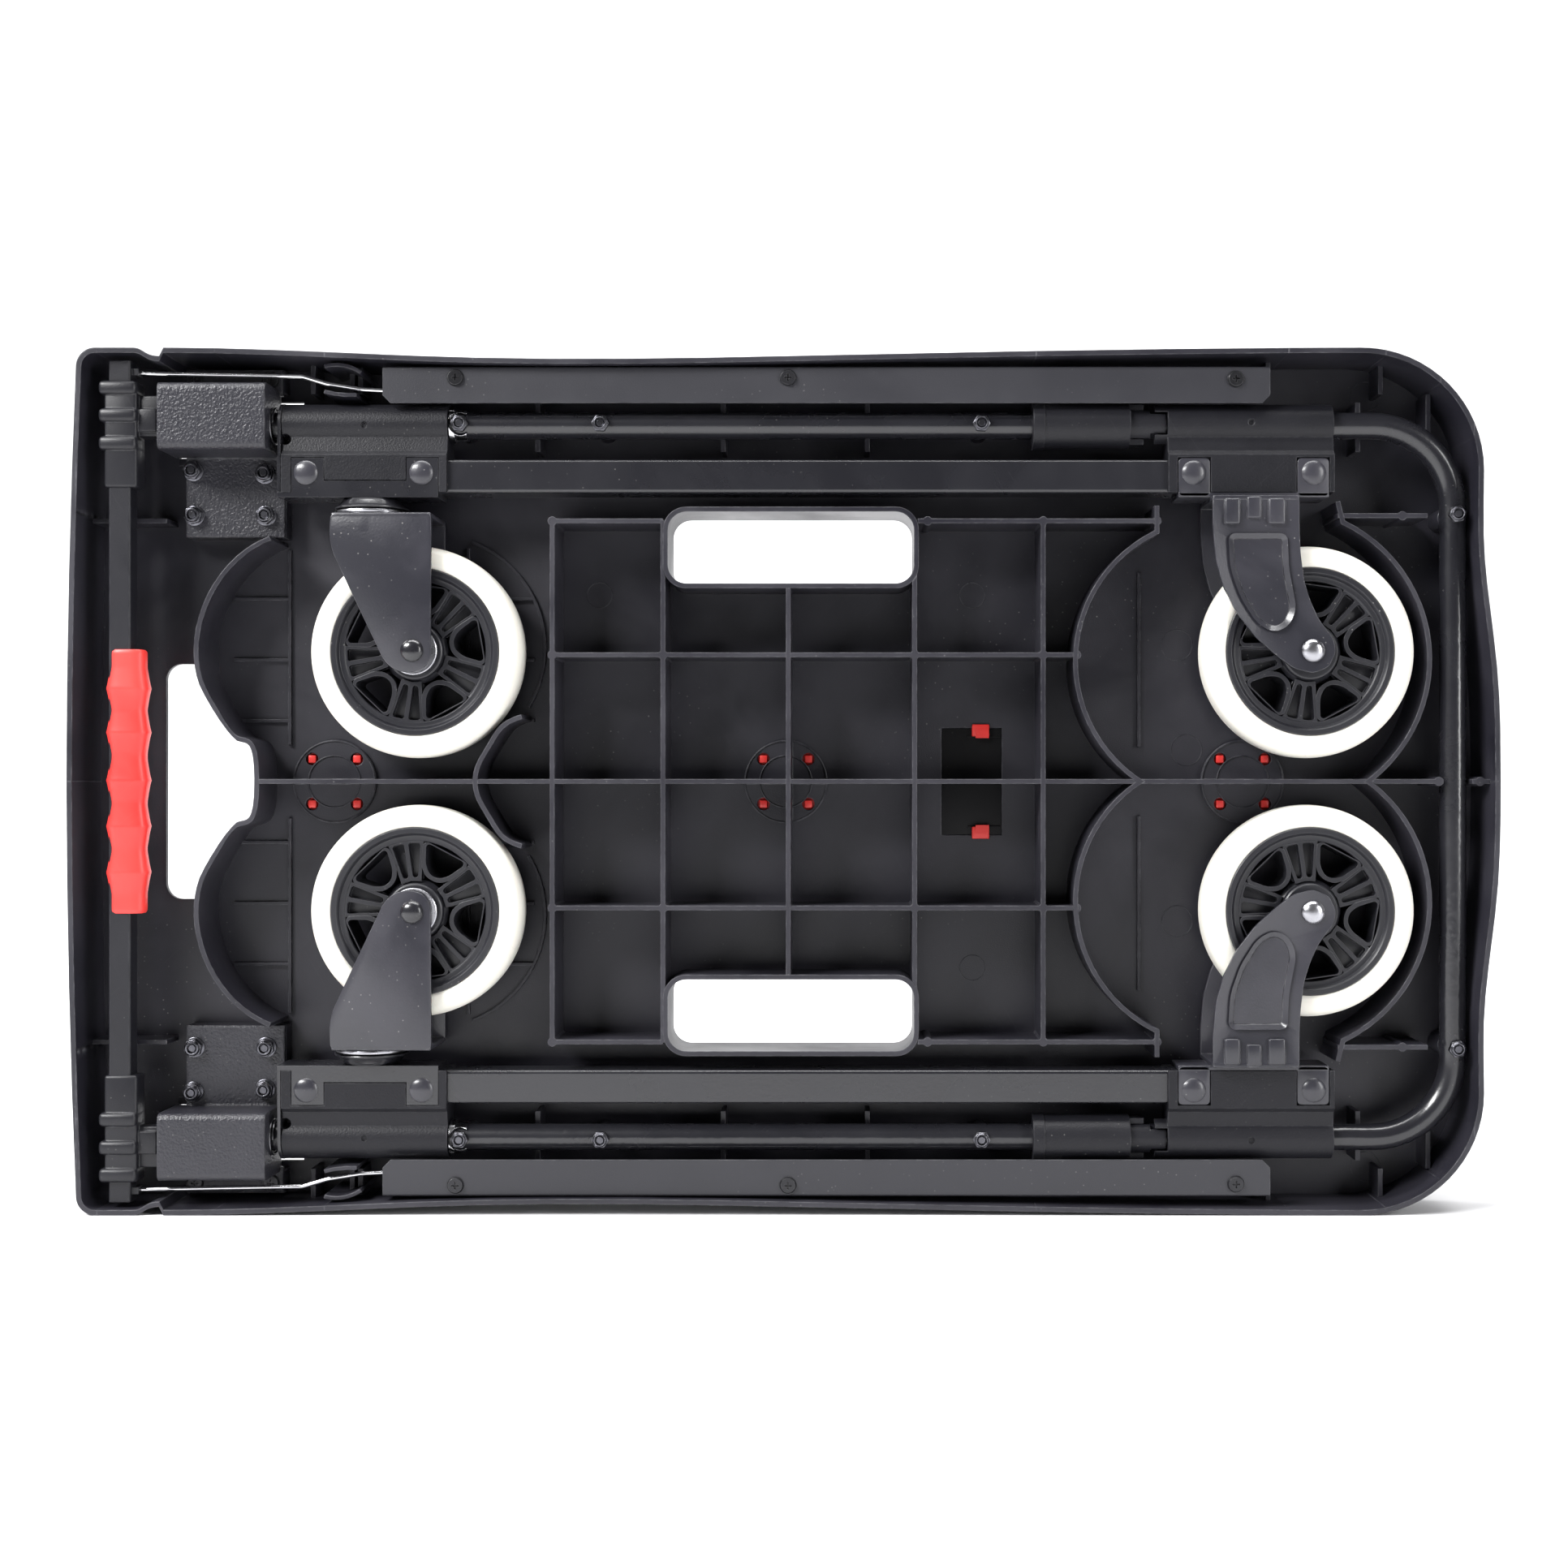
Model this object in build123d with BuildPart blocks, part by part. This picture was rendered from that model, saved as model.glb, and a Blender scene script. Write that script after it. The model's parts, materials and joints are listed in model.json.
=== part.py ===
# Folding platform cart: a moulded deck with a steel tube frame, two wheel beams that fold flat
# under it, a pull-bar release and a telescoping handle that folds onto the load side.
#
# The folded cart stands on one long edge: X runs along its length, Z up across its width,
# and the underside with the folded wheels faces -Y. The origin is under its middle.
import os

from build123d import *

os.makedirs("parts", exist_ok=True)

# ---------------------------------------------------------------- driving dimensions (mm)
# Places on the cart are given as x (length), v (across the width, from the middle)
# and d (depth out of the underside, from the deck plate's inner face).
half_length = 340.5
half_width = 206.0
plate = 3.0            # deck plate thickness
skirt = 40.0           # skirt height
wall = 2.5             # skirt thickness
rib = 2.3              # rib thickness
rib_height = 32.0

tube_v = 171.4         # centre line of the steel frame tube
tube_d = 24.0
tube_r = 6.35
tube_bore = 6.40       # what turns or slides on the tube

front_end = -240.0     # front hinge sleeve, from here ...
front_inner = -161.0   # ... to here
rear_inner = 183.5
rear_end = 262.8
barrel_r = 10.2

beam_low, beam_high = 138.0, 154.0     # wheel beam section across v
beam_near, beam_far = 33.0, 15.0       # and across d
steel = 2.0

wheel_v = 62.0
front_wheel_x = -176.0
rear_wheel_x = 251.0
kingpin_x = -199.0
tyre_r = 50.8
rim_r = 40.2
wheel_half = 12.5
arm_out, arm_in = 18.5, 16.3           # fork arms either side of the wheel's middle plane

bar_x, bar_side, bar_d = -317.0, 10.4, 30.0

box_left, box_right = -297.6, -246.4   # handle hinge housing
box_low, box_high = 158.0, 190.0
box_top = 40.0
flange_d = 10.5

hinge_x, hinge_d = -256.0, 6.0         # handle hinge pin
leg_d = -16.0                          # folded handle's centre line
leg_deep, leg_wide, leg_wall = 22.0, 20.0, 1.5
crossbar_x = 91.0

handle_out = 28.5                      # how far the folded handle stands out of the load side
axle_out = 45.0                        # how far the axle heads stand out of the underside
face_y = (axle_out - handle_out) / 2
mid_z = half_width
mid_plane = Plane.XY.offset(mid_z)


def level(d):
    # sketch plane at depth d: local x, v, facing out of the underside
    return Plane(origin=(0, face_y - d, mid_z), x_dir=(1, 0, 0), z_dir=(0, -1, 0))


def station(x):
    # sketch plane across the cart at x: local v, d, facing +X
    return Plane(origin=(x, face_y, mid_z), x_dir=(0, 0, 1), z_dir=(1, 0, 0))


def shelf(v):
    # sketch plane along the cart at v: local x, d, facing down
    return Plane(origin=(0, face_y, mid_z + v), x_dir=(1, 0, 0), z_dir=(0, 0, -1))


def place(x, v, d):
    return Vector(x, face_y - d, mid_z + v)


def rod_z(x, d, v_low, v_high, radius, mode=Mode.ADD):
    # a round bar across the cart
    with BuildSketch(shelf(v_high)) as profile:
        with Locations((x, d)):
            Circle(radius)
    extrude(profile.sketch, amount=v_high - v_low, mode=mode)


def write(piece, name):
    piece.label = name
    export_step(piece, f"parts/{name}.step")


def write_pair(piece, name):
    # the lower half of the cart mirrors the upper half
    write(piece, "upper_" + name)
    write(mirror(piece, about=mid_plane), "lower_" + name)


def write_both(piece, name):
    # both halves in one node, where they move together
    solids = [*piece.solids(), *mirror(piece, about=mid_plane).solids()]
    write(Compound(children=solids), name)


def span(low, high):
    return (low + high) / 2, high - low


def block(x_low, x_high, v_low, v_high, d_low, d_high, mode=Mode.ADD):
    # a box between two corners, added to the part being built
    (x, dx), (v, dv), (d, dd) = span(x_low, x_high), span(v_low, v_high), span(d_low, d_high)
    with BuildSketch(level(d_low)) as profile:
        with Locations((x, v)):
            Rectangle(dx, dv)
    extrude(profile.sketch, amount=dd, mode=mode)


def peg(x, v, radius, d_low, d_high, mode=Mode.ADD):
    # a round post square to the deck
    with BuildSketch(level(d_low)) as profile:
        with Locations((x, v)):
            Circle(radius)
    extrude(profile.sketch, amount=d_high - d_low, mode=mode)


def rod_x(x_low, x_high, v, d, radius, mode=Mode.ADD):
    # a round bar along the cart
    with BuildSketch(station(x_low)) as profile:
        with Locations((v, d)):
            Circle(radius)
    extrude(profile.sketch, amount=x_high - x_low, mode=mode)


def patch(x_low, x_high, v_low, v_high):
    # a rectangle in the sketch being drawn
    (x, dx), (v, dv) = span(x_low, x_high), span(v_low, v_high)
    with Locations((x, v)):
        Rectangle(dx, dv)


def dot(x, v, radius):
    # a circle in the sketch being drawn
    with Locations((x, v)):
        Circle(radius)


# ---------------------------------------------------------------- deck
def deck_outline(inset):
    # the deck's plan shape, drawn in by inset: nearly straight long edges, a small step near
    # the handle end, wide corners and a bowed edge at the other end
    top = half_width - inset
    corner, far_corner = 9.0, 58.0
    with BuildSketch() as plan:
        with BuildLine():
            ThreePointArc((-half_length + inset, 0), (-339.2 + inset, 100), (-336 + inset, 197))
            JernArc((-336 + inset, 197), (0, 1), corner - inset, -90)
            Line((-327, top), (-309, top))
            Spline((-309, top), (-302.5, top - 2.6), (-296.5, top - 4), tangents=((1, 0), (1, 0)))
            Line((-296.5, top - 4), (-294.5, top))
            Spline(
                (-294.5, top), (-160, top - 4.4), (52, top - 2.9), (206, top - 0.4), (274.6, top),
                tangents=((1, 0), (1, 0)),
            )
            JernArc((274.6, top), (1, 0), far_corner - inset, -90)
            Spline(
                (332.6 - inset, half_width - far_corner), (332.6 - inset, 112), (338 - inset, 62),
                (half_length - inset, 0), tangents=((0, -1), (0, -1)),
            )
            mirror(about=Plane.XZ)
        make_face()
    return plan.sketch


rib_lines_across = {-111.0: 125, -58.0: 125, 2.0: 93, 62.5: 125, 124.0: 125}
handle_hole = (-299.5, -238, 156.8, 187.2)
hand_hole_x, hand_hole_v = span(-58, 64.5), span(92.5, 131.5)
pad_places = [(-222.5, 0), (0, 0), (225, 0)]
pad_r, prong_out, prong_r = 19.0, 15.6, 2.4
clip_low, clip_high, clip_half = 76.5, 106.8, 27.0
tab_low, tab_high, tab_v, tab_half = 93.5, 100.1, 23.5, 2.1
seat_deep = 1.5        # how far the pads and the clip are let into the load side
proud = 0.5            # and how far they stand out of it
window_deep = 0.9
cover_screw_places = [(-156.5, 192.4), (2.0, 192.4), (215.4, 191.8)]
housing_bolt_places = [(-288.6, 151.3), (-253.5, 150.0), (-288.0, 129.6), (-253.0, 129.6)]
housing_screw_places = [(-287.6, 195.6), (-250.6, 195.6)]
tube_screw_x = [-155.4, -88.0, 94.5]
end_screw_v = 128.0
end_tube_x = 322.2
post_r = 2.2
post_places = [
    (-111, 60.6), (-58, 60.6), (62.5, 60.6), (124, 60.6), (124, 124.7), (-111, 124.7),
    (68.7, 124.7), (140, 60.6), (178.5, 124.7), (296, 127.2),
]
sides = (1, -1)



def draw_openings():
    # through openings, in the sketch being drawn: hand holes, handle legs, the fingers beside
    # the release grip, the round pads' snap prongs and the handle clip's tabs
    for side in sides:
        with Locations((hand_hole_x[0], side * hand_hole_v[0])):
            RectangleRounded(hand_hole_x[1] - 2 * rib, hand_hole_v[1] - 2 * rib, 9)
        low, high, near, far = handle_hole
        patch(low, high, *sorted((side * near, side * far)))
        patch(tab_low - 1, tab_high + 1, side * tab_v - tab_half - 0.5, side * tab_v + tab_half + 0.5)
    with BuildLine() as finger_edge:
        Line((-306, 0), (-306, 50))
        ThreePointArc((-306, 50), (-303.7, 55.7), (-298, 58))
        Line((-298, 58), (-282.6, 58))
        Spline(
            (-282.6, 58), (-279.6, 45.7), (-273.2, 34), (-263.6, 21), (-253.6, 0),
            tangents=((0, -1), (0, -1)),
        )
        mirror(about=Plane.XZ)
    make_face(finger_edge.edges())
    for x, v in pad_places:
        for turn in range(4):
            prong = Vector(prong_out, 0).rotate(Axis.Z, 90 * turn + 45)
            dot(x + prong.X, v + prong.Y, prong_r + 0.7)


with BuildPart() as deck_plate:
    with BuildSketch(level(-plate)):
        add(deck_outline(0))
    extrude(amount=plate)
    load_rim = deck_plate.faces().sort_by(Axis.Y)[-1].edges()
    fillet(load_rim, 2.4)
    with BuildSketch(level(-plate)):
        draw_openings()
    extrude(amount=plate, mode=Mode.SUBTRACT)
    # shallow seats on the load side for the pads and the clip
    with BuildSketch(level(-plate)):
        for x, v in pad_places:
            dot(x, v, pad_r + 0.3)
        patch(clip_low, clip_high, -clip_half, clip_half)
    extrude(amount=seat_deep, mode=Mode.SUBTRACT)
    # and a shallow window over the clip on the inner face
    with BuildSketch(level(-window_deep)):
        patch(clip_low + 0.3, clip_high - 0.3, -clip_half + 0.6, clip_half - 0.6)
    extrude(amount=window_deep, mode=Mode.SUBTRACT)
write(deck_plate.part, "deck_plate")

skirt_partings = (-336, -326, -270, -218, 120, 240, 286, 312, 328)

# Walls on the plate's inner face. Each group is cut back from the groups made before it, so
# that they meet without overlapping.
with BuildPart() as deck_skirt:
    with BuildSketch(level(0)):
        add(deck_outline(0))
        add(deck_outline(wall), mode=Mode.SUBTRACT)
    extrude(amount=skirt)
    # parted into lengths that touch, each of them nearly straight
    for x in skirt_partings:
        split(bisect_by=station(x), keep=Keep.BOTH)
    split(bisect_by=Plane.XY.offset(half_width), keep=Keep.BOTH)
write(deck_skirt.part, "deck_skirt")


def cut_back(*earlier):
    # in the part being built: clear of the openings and of what stands there already
    with BuildSketch(level(0)) as holes:
        draw_openings()
    extrude(holes.sketch, amount=skirt, mode=Mode.SUBTRACT)
    for standing in earlier:
        add(standing.part, mode=Mode.SUBTRACT)


# the wheel wells' curved walls and the raised lips of the hand holes
with BuildPart() as deck_wells:
    with BuildSketch(level(0)):
        for side in sides:
            with Locations((hand_hole_x[0], side * hand_hole_v[0])):
                RectangleRounded(hand_hole_x[1], hand_hole_v[1], 11)
                RectangleRounded(hand_hole_x[1] - 2 * rib, hand_hole_v[1] - 2 * rib, 9, mode=Mode.SUBTRACT)
        with BuildLine():
            Spline(
                (-246, 116.5), (-257, 110.5), (-271.6, 95), (-279, 78.8), (-281.4, 60), (-278.4, 45.7),
                (-272, 34), (-262.4, 21), (-252.4, 0), tangents=((-1, -0.4), (0, -1)),
            )
            Spline((-147.9, 0), (-141.6, 16.4), (-135.2, 26), (-125.6, 31), tangents=((0, 1), (1, 0.3)))
            ThreePointArc((178.5, 119.5), (139.5, 60), (170.5, 0))
            Line((178.5, 119.5), (178.5, 132))
            ThreePointArc((267.5, 124), (309, 60), (279.5, 0))
            Line((267.5, 124), (265, 134))
            mirror(about=Plane.XZ)
        trace(line_width=rib)
    extrude(amount=rib_height)
    cut_back(deck_skirt)
write(deck_wells.part, "deck_wells")

# full-height ribs across the deck, with round mould posts on them
with BuildPart() as ribs_across:
    with BuildSketch(level(0)):
        for x, reach in rib_lines_across.items():
            patch(x - rib / 2, x + rib / 2, -reach, reach)
        for side in sides:
            for x, v in post_places:
                dot(x, v * side, post_r)
    extrude(amount=rib_height)
    cut_back(deck_skirt, deck_wells)

# full-height ribs along the deck
with BuildPart() as ribs_along:
    with BuildSketch(level(0)):
        patch(-254, 315.6, -rib / 2, rib / 2)
        patch(329.4, half_length - wall / 2, -rib / 2, rib / 2)
        dot(313.4, 0, post_r)
        dot(333.2, 0, post_r)
        for side in sides:
            patch(-111, 140, side * 60.6 - rib / 2, side * 60.6 + rib / 2)
            patch(-111, -58, side * 124.7 - rib / 2, side * 124.7 + rib / 2)
            patch(64, 179, side * 124.7 - rib / 2, side * 124.7 + rib / 2)
            patch(265, 308, side * 127.2 - rib / 2, side * 127.2 + rib / 2)
    extrude(amount=rib_height)
    cut_back(deck_skirt, deck_wells, ribs_across)

# low ribs, pad seats, short ribs that brace the skirt, seats under the frame tube and the hinge
# housings, posts for the cover screws and rod guides of two curved plates
with BuildPart() as seats:
    with BuildSketch(level(0)):
        for side in sides:
            patch(-245.4, -243.8, side * 66 - 48, side * 66 + 48)
            patch(-157.4, -155.8, side * 75 - 40, side * 75 + 40)
            for v in (30, 60, 90):
                patch(-272, -245.4, side * v - 0.8, side * v + 0.8)
                patch(-155.8, -124, side * v - 0.8, side * v + 0.8)
            patch(173.2, 174.8, side * 60 - 43, side * 60 + 43)
        for x, v in pad_places:
            dot(x, v, 20.6)
        with BuildLine():
            ThreePointArc((-154.8, 118), (-120.6, 80), (-126.9, 36.8))
            mirror(about=Plane.XZ)
        trace(line_width=1.6)
    extrude(amount=2.0)
    with BuildSketch(level(0)):
        for side in sides:
            for x in (-229, -206, 234.5, 289):
                patch(x - rib / 2, x + rib / 2, *sorted((side * 188, side * 204)))
            patch(-211.2, -208.9, *sorted((side * 184.6, side * 203.6)))
            patch(311, 313.3, *sorted((side * 168, side * 188)))
            patch(-336, -300, side * 126.5 - rib / 2, side * 126.5 + rib / 2)
            patch(329, 333, side * end_screw_v - rib / 2, side * end_screw_v + rib / 2)
            for x in tube_screw_x:
                dot(x, side * tube_v, 4.6)
            for x in (-120, -30, 40, 278):
                patch(x - 1.2, x + 1.2, *sorted((side * 160, side * 184)))
            dot(end_tube_x, side * end_screw_v, 5.5)
    extrude(amount=tube_d - tube_r)
    with BuildSketch(level(0)):
        for side in sides:
            patch(-292, -244, *sorted((side * 119, side * 156)))
            patch(-292, -245, *sorted((side * 190.3, side * 201)))
    extrude(amount=flange_d)
    with BuildSketch(level(0)):
        for side in sides:
            for x, v in cover_screw_places:
                dot(x, side * v, 3.6)
        with BuildLine():
            Spline((-219.5, 198.2), (-210, 198.6), (-202, 195.2))
            Spline((-219.5, 186.2), (-210, 184.6), (-204, 184.6))
            mirror(about=Plane.XZ)
        trace(line_width=1.8)
    extrude(amount=34.4)
    cut_back(deck_skirt, deck_wells, ribs_across, ribs_along)

    # blind holes that the screws and bolts go into
    with BuildSketch(level(3)):
        for side in sides:
            for x, v in housing_bolt_places + housing_screw_places + cover_screw_places:
                dot(x, side * v, 2.05)
            for x in tube_screw_x:
                dot(x, side * tube_v, 2.05)
            dot(end_tube_x, side * end_screw_v, 2.05)
    extrude(amount=34, mode=Mode.SUBTRACT)
least_solid = 2.0      # mm3: anything smaller is a chip left between two walls
rib_solids = [*ribs_across.solids(), *ribs_along.solids(), *seats.solids()]
write(Compound(children=[solid for solid in rib_solids if solid.volume > least_solid]), "deck_ribs")

# round grip pads: a disc on the load side held by four snap prongs
with BuildPart() as pads:
    with BuildSketch(level(-plate - proud)):
        for x, v in pad_places:
            dot(x, v, pad_r)
    extrude(amount=proud + seat_deep)
    with BuildSketch(level(-plate + seat_deep - 0.1)):
        for x, v in pad_places:
            for turn in range(4):
                prong = Vector(prong_out, 0).rotate(Axis.Z, 90 * turn + 45)
                dot(x + prong.X, v + prong.Y, prong_r)
    extrude(amount=3.4)
write(pads.part, "grip_pads")

# handle clip: a low rest that the folded handle's crossbar lies against
clip_wall_x = 78.4
with BuildPart() as clip:
    block(clip_low + 0.3, clip_high - 0.3, -clip_half + 0.3, clip_half - 0.3,
          -plate - proud, -plate + seat_deep)
    block(clip_low + 0.4, clip_wall_x, -20, 20, -14, -plate)
    for v in (tab_v, -tab_v):
        block(tab_low, tab_high, v - tab_half, v + tab_half, -plate, 2.2)
write(clip.part, "handle_clip")

# ---------------------------------------------------------------- steel frame
tube_left, bend_x, bend_r = -250.0, 283.2, 39.0
straight_v = tube_v - bend_r

with BuildPart() as frame_tube:
    with BuildLine() as route:
        Line(place(tube_left, tube_v, tube_d), place(bend_x, tube_v, tube_d))
        ThreePointArc(
            place(bend_x, tube_v, tube_d),
            place(bend_x + bend_r * 0.70710678, straight_v + bend_r * 0.70710678, tube_d),
            place(end_tube_x, straight_v, tube_d),
        )
        Line(place(end_tube_x, straight_v, tube_d), place(end_tube_x, -straight_v, tube_d))
        ThreePointArc(
            place(end_tube_x, -straight_v, tube_d),
            place(bend_x + bend_r * 0.70710678, -straight_v - bend_r * 0.70710678, tube_d),
            place(bend_x, -tube_v, tube_d),
        )
        Line(place(bend_x, -tube_v, tube_d), place(tube_left, -tube_v, tube_d))
    with BuildSketch(station(tube_left)):
        with Locations((tube_v, tube_d)):
            Circle(tube_r)
            Circle(tube_r - 1.2, mode=Mode.SUBTRACT)
    sweep(path=route.wires()[0])
    # drilled for the screws that hold it to the deck
    with BuildSketch(level(tube_d - tube_r - 1)):
        for side in sides:
            for x in tube_screw_x:
                dot(x, side * tube_v, 2.1)
            dot(end_tube_x, side * end_screw_v, 2.1)
    extrude(amount=2 * tube_r + 2, mode=Mode.SUBTRACT)
write(frame_tube.part, "frame_tube")

# tube screws with domed lock nuts
with BuildPart() as tube_screws:
    for side in sides:
        for x, v in [(x, tube_v) for x in tube_screw_x] + [(end_tube_x, end_screw_v)]:
            peg(x, side * v, 2.0, 8, tube_d + tube_r + 6.0)
            with BuildSketch(level(tube_d + tube_r + 0.2)) as nut:
                with Locations((x, side * v)):
                    RegularPolygon(4.5, 6)
            extrude(nut.sketch, amount=3.2)
            with BuildSketch(level(tube_d + tube_r + 3.4)) as dome:
                with Locations((x, side * v)):
                    Circle(3.7)
            extrude(dome.sketch, amount=1.6, taper=14)
write(tube_screws.part, "tube_screws")

# chrome stop collars on the tube, inboard of the front sleeves
with BuildPart() as collars:
    for side in sides:
        rod_x(front_inner + 0.6, front_inner + 3.0, side * tube_v, tube_d, 9.2)
        rod_x(front_inner + 3.0, front_inner + 8.6, side * tube_v, tube_d, 7.6)
        rod_x(front_inner + 0.6, front_inner + 8.6, side * tube_v, tube_d, tube_r, Mode.SUBTRACT)
        peg(tube_screw_x[0], side * tube_v, 5.4, 14, 36, Mode.SUBTRACT)
        block(front_inner, tube_screw_x[0], side * tube_v - 5.2, side * tube_v + 5.2, 10,
              tube_d - tube_r, Mode.SUBTRACT)
write(collars.part, "tube_collars")

# handle hinge housing: a steel hat over the leg's foot, open towards the release bar
with BuildPart() as housing:
    block(box_left, box_right, box_low, box_high, flange_d, box_top)
    rounded = housing.edges().filter_by(Axis.X).group_by(Axis.Y)[0]
    fillet(rounded, 3.5)
    with BuildSketch(level(flange_d)):
        patch(-292, -244.2, 119, 160)
        patch(-292, -245, 188, 200.6)
    extrude(amount=2.5)
    block(box_left - 1, box_right - 2.4, box_low + 2.5, box_high - 2.5, flange_d - 1, box_top - 2.4,
          Mode.SUBTRACT)
    # ears that hold the handle's pin
    for v in (box_high, box_low + 2.5):
        with BuildSketch(shelf(v)):
            with Locations((hinge_x, hinge_d)):
                Circle(5.6)
            ear_d, ear_drop = span(hinge_d, flange_d + 2)
            with Locations((hinge_x, ear_d)):
                Rectangle(11.2, ear_drop)
        extrude(amount=2.5)
    rod_z(hinge_x, hinge_d, box_low - 1, box_high + 1, 4.02, Mode.SUBTRACT)
    # way in for the tube's end, and the bolt and screw holes
    rod_x(box_right - 4, box_right + 1, tube_v, tube_d, tube_r + 0.1, Mode.SUBTRACT)
    for x, v in housing_bolt_places + housing_screw_places:
        peg(x, v, 2.1, flange_d - 1, flange_d + 4, Mode.SUBTRACT)
write_both(housing.part, "hinge_housings")

with BuildPart() as housing_bolts:
    for side in sides:
        for x, v in housing_bolt_places:
            peg(x, side * v, 2.0, 4, flange_d + 8.4)
            with BuildSketch(level(flange_d + 2.5)) as washer:
                with Locations((x, side * v)):
                    Circle(5.0)
            extrude(washer.sketch, amount=0.8)
            with BuildSketch(level(flange_d + 3.3)) as nut:
                with Locations((x, side * v)):
                    RegularPolygon(4.5, 6)
            extrude(nut.sketch, amount=3.0)
            with BuildSketch(level(flange_d + 6.3)) as dome:
                with Locations((x, side * v)):
                    Circle(3.6)
            extrude(dome.sketch, amount=1.6, taper=14)
write(housing_bolts.part, "housing_bolts")

# cross-head screws that hold the housings' outer flanges and the rod covers
with BuildPart() as deck_screws:
    for side in sides:
        seats = [(x, v, flange_d + 2.5) for x, v in housing_screw_places]
        seats += [(x, v, 36.0) for x, v in cover_screw_places]
        for x, v, seat in seats:
            peg(x, side * v, 1.9, seat - 9, seat)
            with BuildSketch(level(seat)) as head:
                with Locations((x, side * v)):
                    Circle(4.1)
            extrude(head.sketch, amount=1.5, taper=24)
            for wide, deep in ((3.6, 0.8), (0.8, 3.6)):
                block(x - wide / 2, x + wide / 2, side * v - deep / 2, side * v + deep / 2,
                      seat + 0.5, seat + 2, Mode.SUBTRACT)
write(deck_screws.part, "deck_screws")

# the handle's hinge pins, across the housings
with BuildPart() as hinge_pins:
    for side in sides:
        low, high = sorted((side * (box_low - 0.8), side * (box_high + 0.2)))
        rod_z(hinge_x, hinge_d, low, high, 4.0)
write(hinge_pins.part, "handle_hinge_pins")

# long angle covers over the pull rods
cover_left, cover_right = -191.3, 231.8
cover_low, cover_high = 180.4, 197.8
with BuildPart() as cover:
    with BuildSketch(level(34.5)):
        with BuildLine():
            Polyline((cover_left, cover_high), (cover_right, cover_high),
                     (cover_right, cover_low + 3.7), (cover_right - 3.7, cover_low),
                     (cover_left + 3.7, cover_low), (cover_left, cover_low + 3.7), close=True)
        make_face()
    extrude(amount=1.5)
    block(cover_left, cover_right, cover_high - 1.3, cover_high, 20, 34.5)
    outer_bend = cover.edges().filter_by(Axis.X).group_by(Axis.Y)[0].sort_by(Axis.Z)[-1]
    fillet(outer_bend, 1.2)
    for x, v in cover_screw_places:
        peg(x, v, 2.0, 34, 37, Mode.SUBTRACT)
write_both(cover.part, "rod_covers")

# torsion springs that open the wheel beams, coiled on the tube beside the front sleeves
with BuildPart() as springs:
    for side in sides:
        coil_centre = place(-245.65, side * tube_v, tube_d)
        with BuildLine() as coil:
            Helix(pitch=1.4, height=2.8, radius=8.2, center=coil_centre, direction=(1, 0, 0))
        with BuildSketch(Plane(coil.line @ 0, z_dir=coil.line % 0)) as wire:
            Circle(0.65)
        sweep(wire.sketch, path=coil.line, is_frenet=True)
write(springs.part, "hinge_springs")

# ---------------------------------------------------------------- release bar
with BuildPart() as release_bar:
    block(bar_x - bar_side / 2, bar_x + bar_side / 2, -200.8, 200.8,
          bar_d - bar_side / 2, bar_d + bar_side / 2)
    chamfer(release_bar.edges().filter_by(Axis.Z), 0.6)
    # eyes for the pull rods' hooked ends
    for side in sides:
        block(bar_x + 4, -308.6, *sorted((side * 194, side * 197.4)), 27, 33)
write(release_bar.part, "release_bar")

grip_low, grip_high = -63.0, 63.0
grip_left, grip_right = -324.2, -303.6
with BuildPart() as grip:
    with BuildSketch(level(24)):
        with BuildLine():
            Line((grip_left, grip_low), (grip_left, grip_high))
            Line((grip_left, grip_high), (grip_right, grip_high))
            Line((grip_right, grip_high), (grip_right, 50))
            for ridge in range(4):
                top = 50 - 25 * ridge
                Spline((grip_right, top), (grip_right - 2.2, top - 12.5), (grip_right, top - 25))
            Line((grip_right, -50), (grip_right, grip_low))
            Line((grip_right, grip_low), (grip_left, grip_low))
        make_face()
    extrude(amount=13.5)
    fillet(grip.edges().group_by(Axis.Y)[0], 3.0)
    block(bar_x - bar_side / 2, bar_x + bar_side / 2, grip_low, grip_high,
          bar_d - bar_side / 2, bar_d + bar_side / 2, Mode.SUBTRACT)
write(grip.part, "release_grip")

# end blocks with three finger ridges and a latch tongue that points at the housing
block_left, block_right = -326.6, -308.2
with BuildPart() as latch_block:
    block(-324.0, block_right, 140, 191, 23.5, 36.5)
    for v in (187.7, 174.6, 161.2):
        block(block_left, block_right, v - 3.3, v + 3.3, 24, 34.8)
        rod_x(block_left, block_right, v, 34.8, 3.3)
    block(bar_x - bar_side / 2, bar_x + bar_side / 2, 130, 200,
          bar_d - bar_side / 2, bar_d + bar_side / 2, Mode.SUBTRACT)
    block(block_right, -295.4, 165, 184.6, 24.5, 33)
    block(block_right, -299.5, 167, 178, 33, 34.4)
write_both(latch_block.part, "latch_blocks")

# pull rods: from the bar, through the guide and under the cover to the lock sleeve
rod_r = 1.1
with BuildPart() as pull_rod:
    rod_points = [(-308.6, 195.6), (-231, 194.2), (-219, 190.6), (-203, 188.0), (-192, 187.4),
                  (-176, 184.8), (124.5, 184.8), (133, 183.4)]
    with BuildLine() as rod_route:
        FilletPolyline(*[place(x, v, bar_d) for x, v in rod_points], radius=6)
    with BuildSketch(Plane(rod_route.line @ 0, z_dir=rod_route.line % 0)) as rod_end:
        Circle(rod_r)
    sweep(rod_end.sketch, path=rod_route.line)
write_both(pull_rod.part, "pull_rods")

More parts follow.
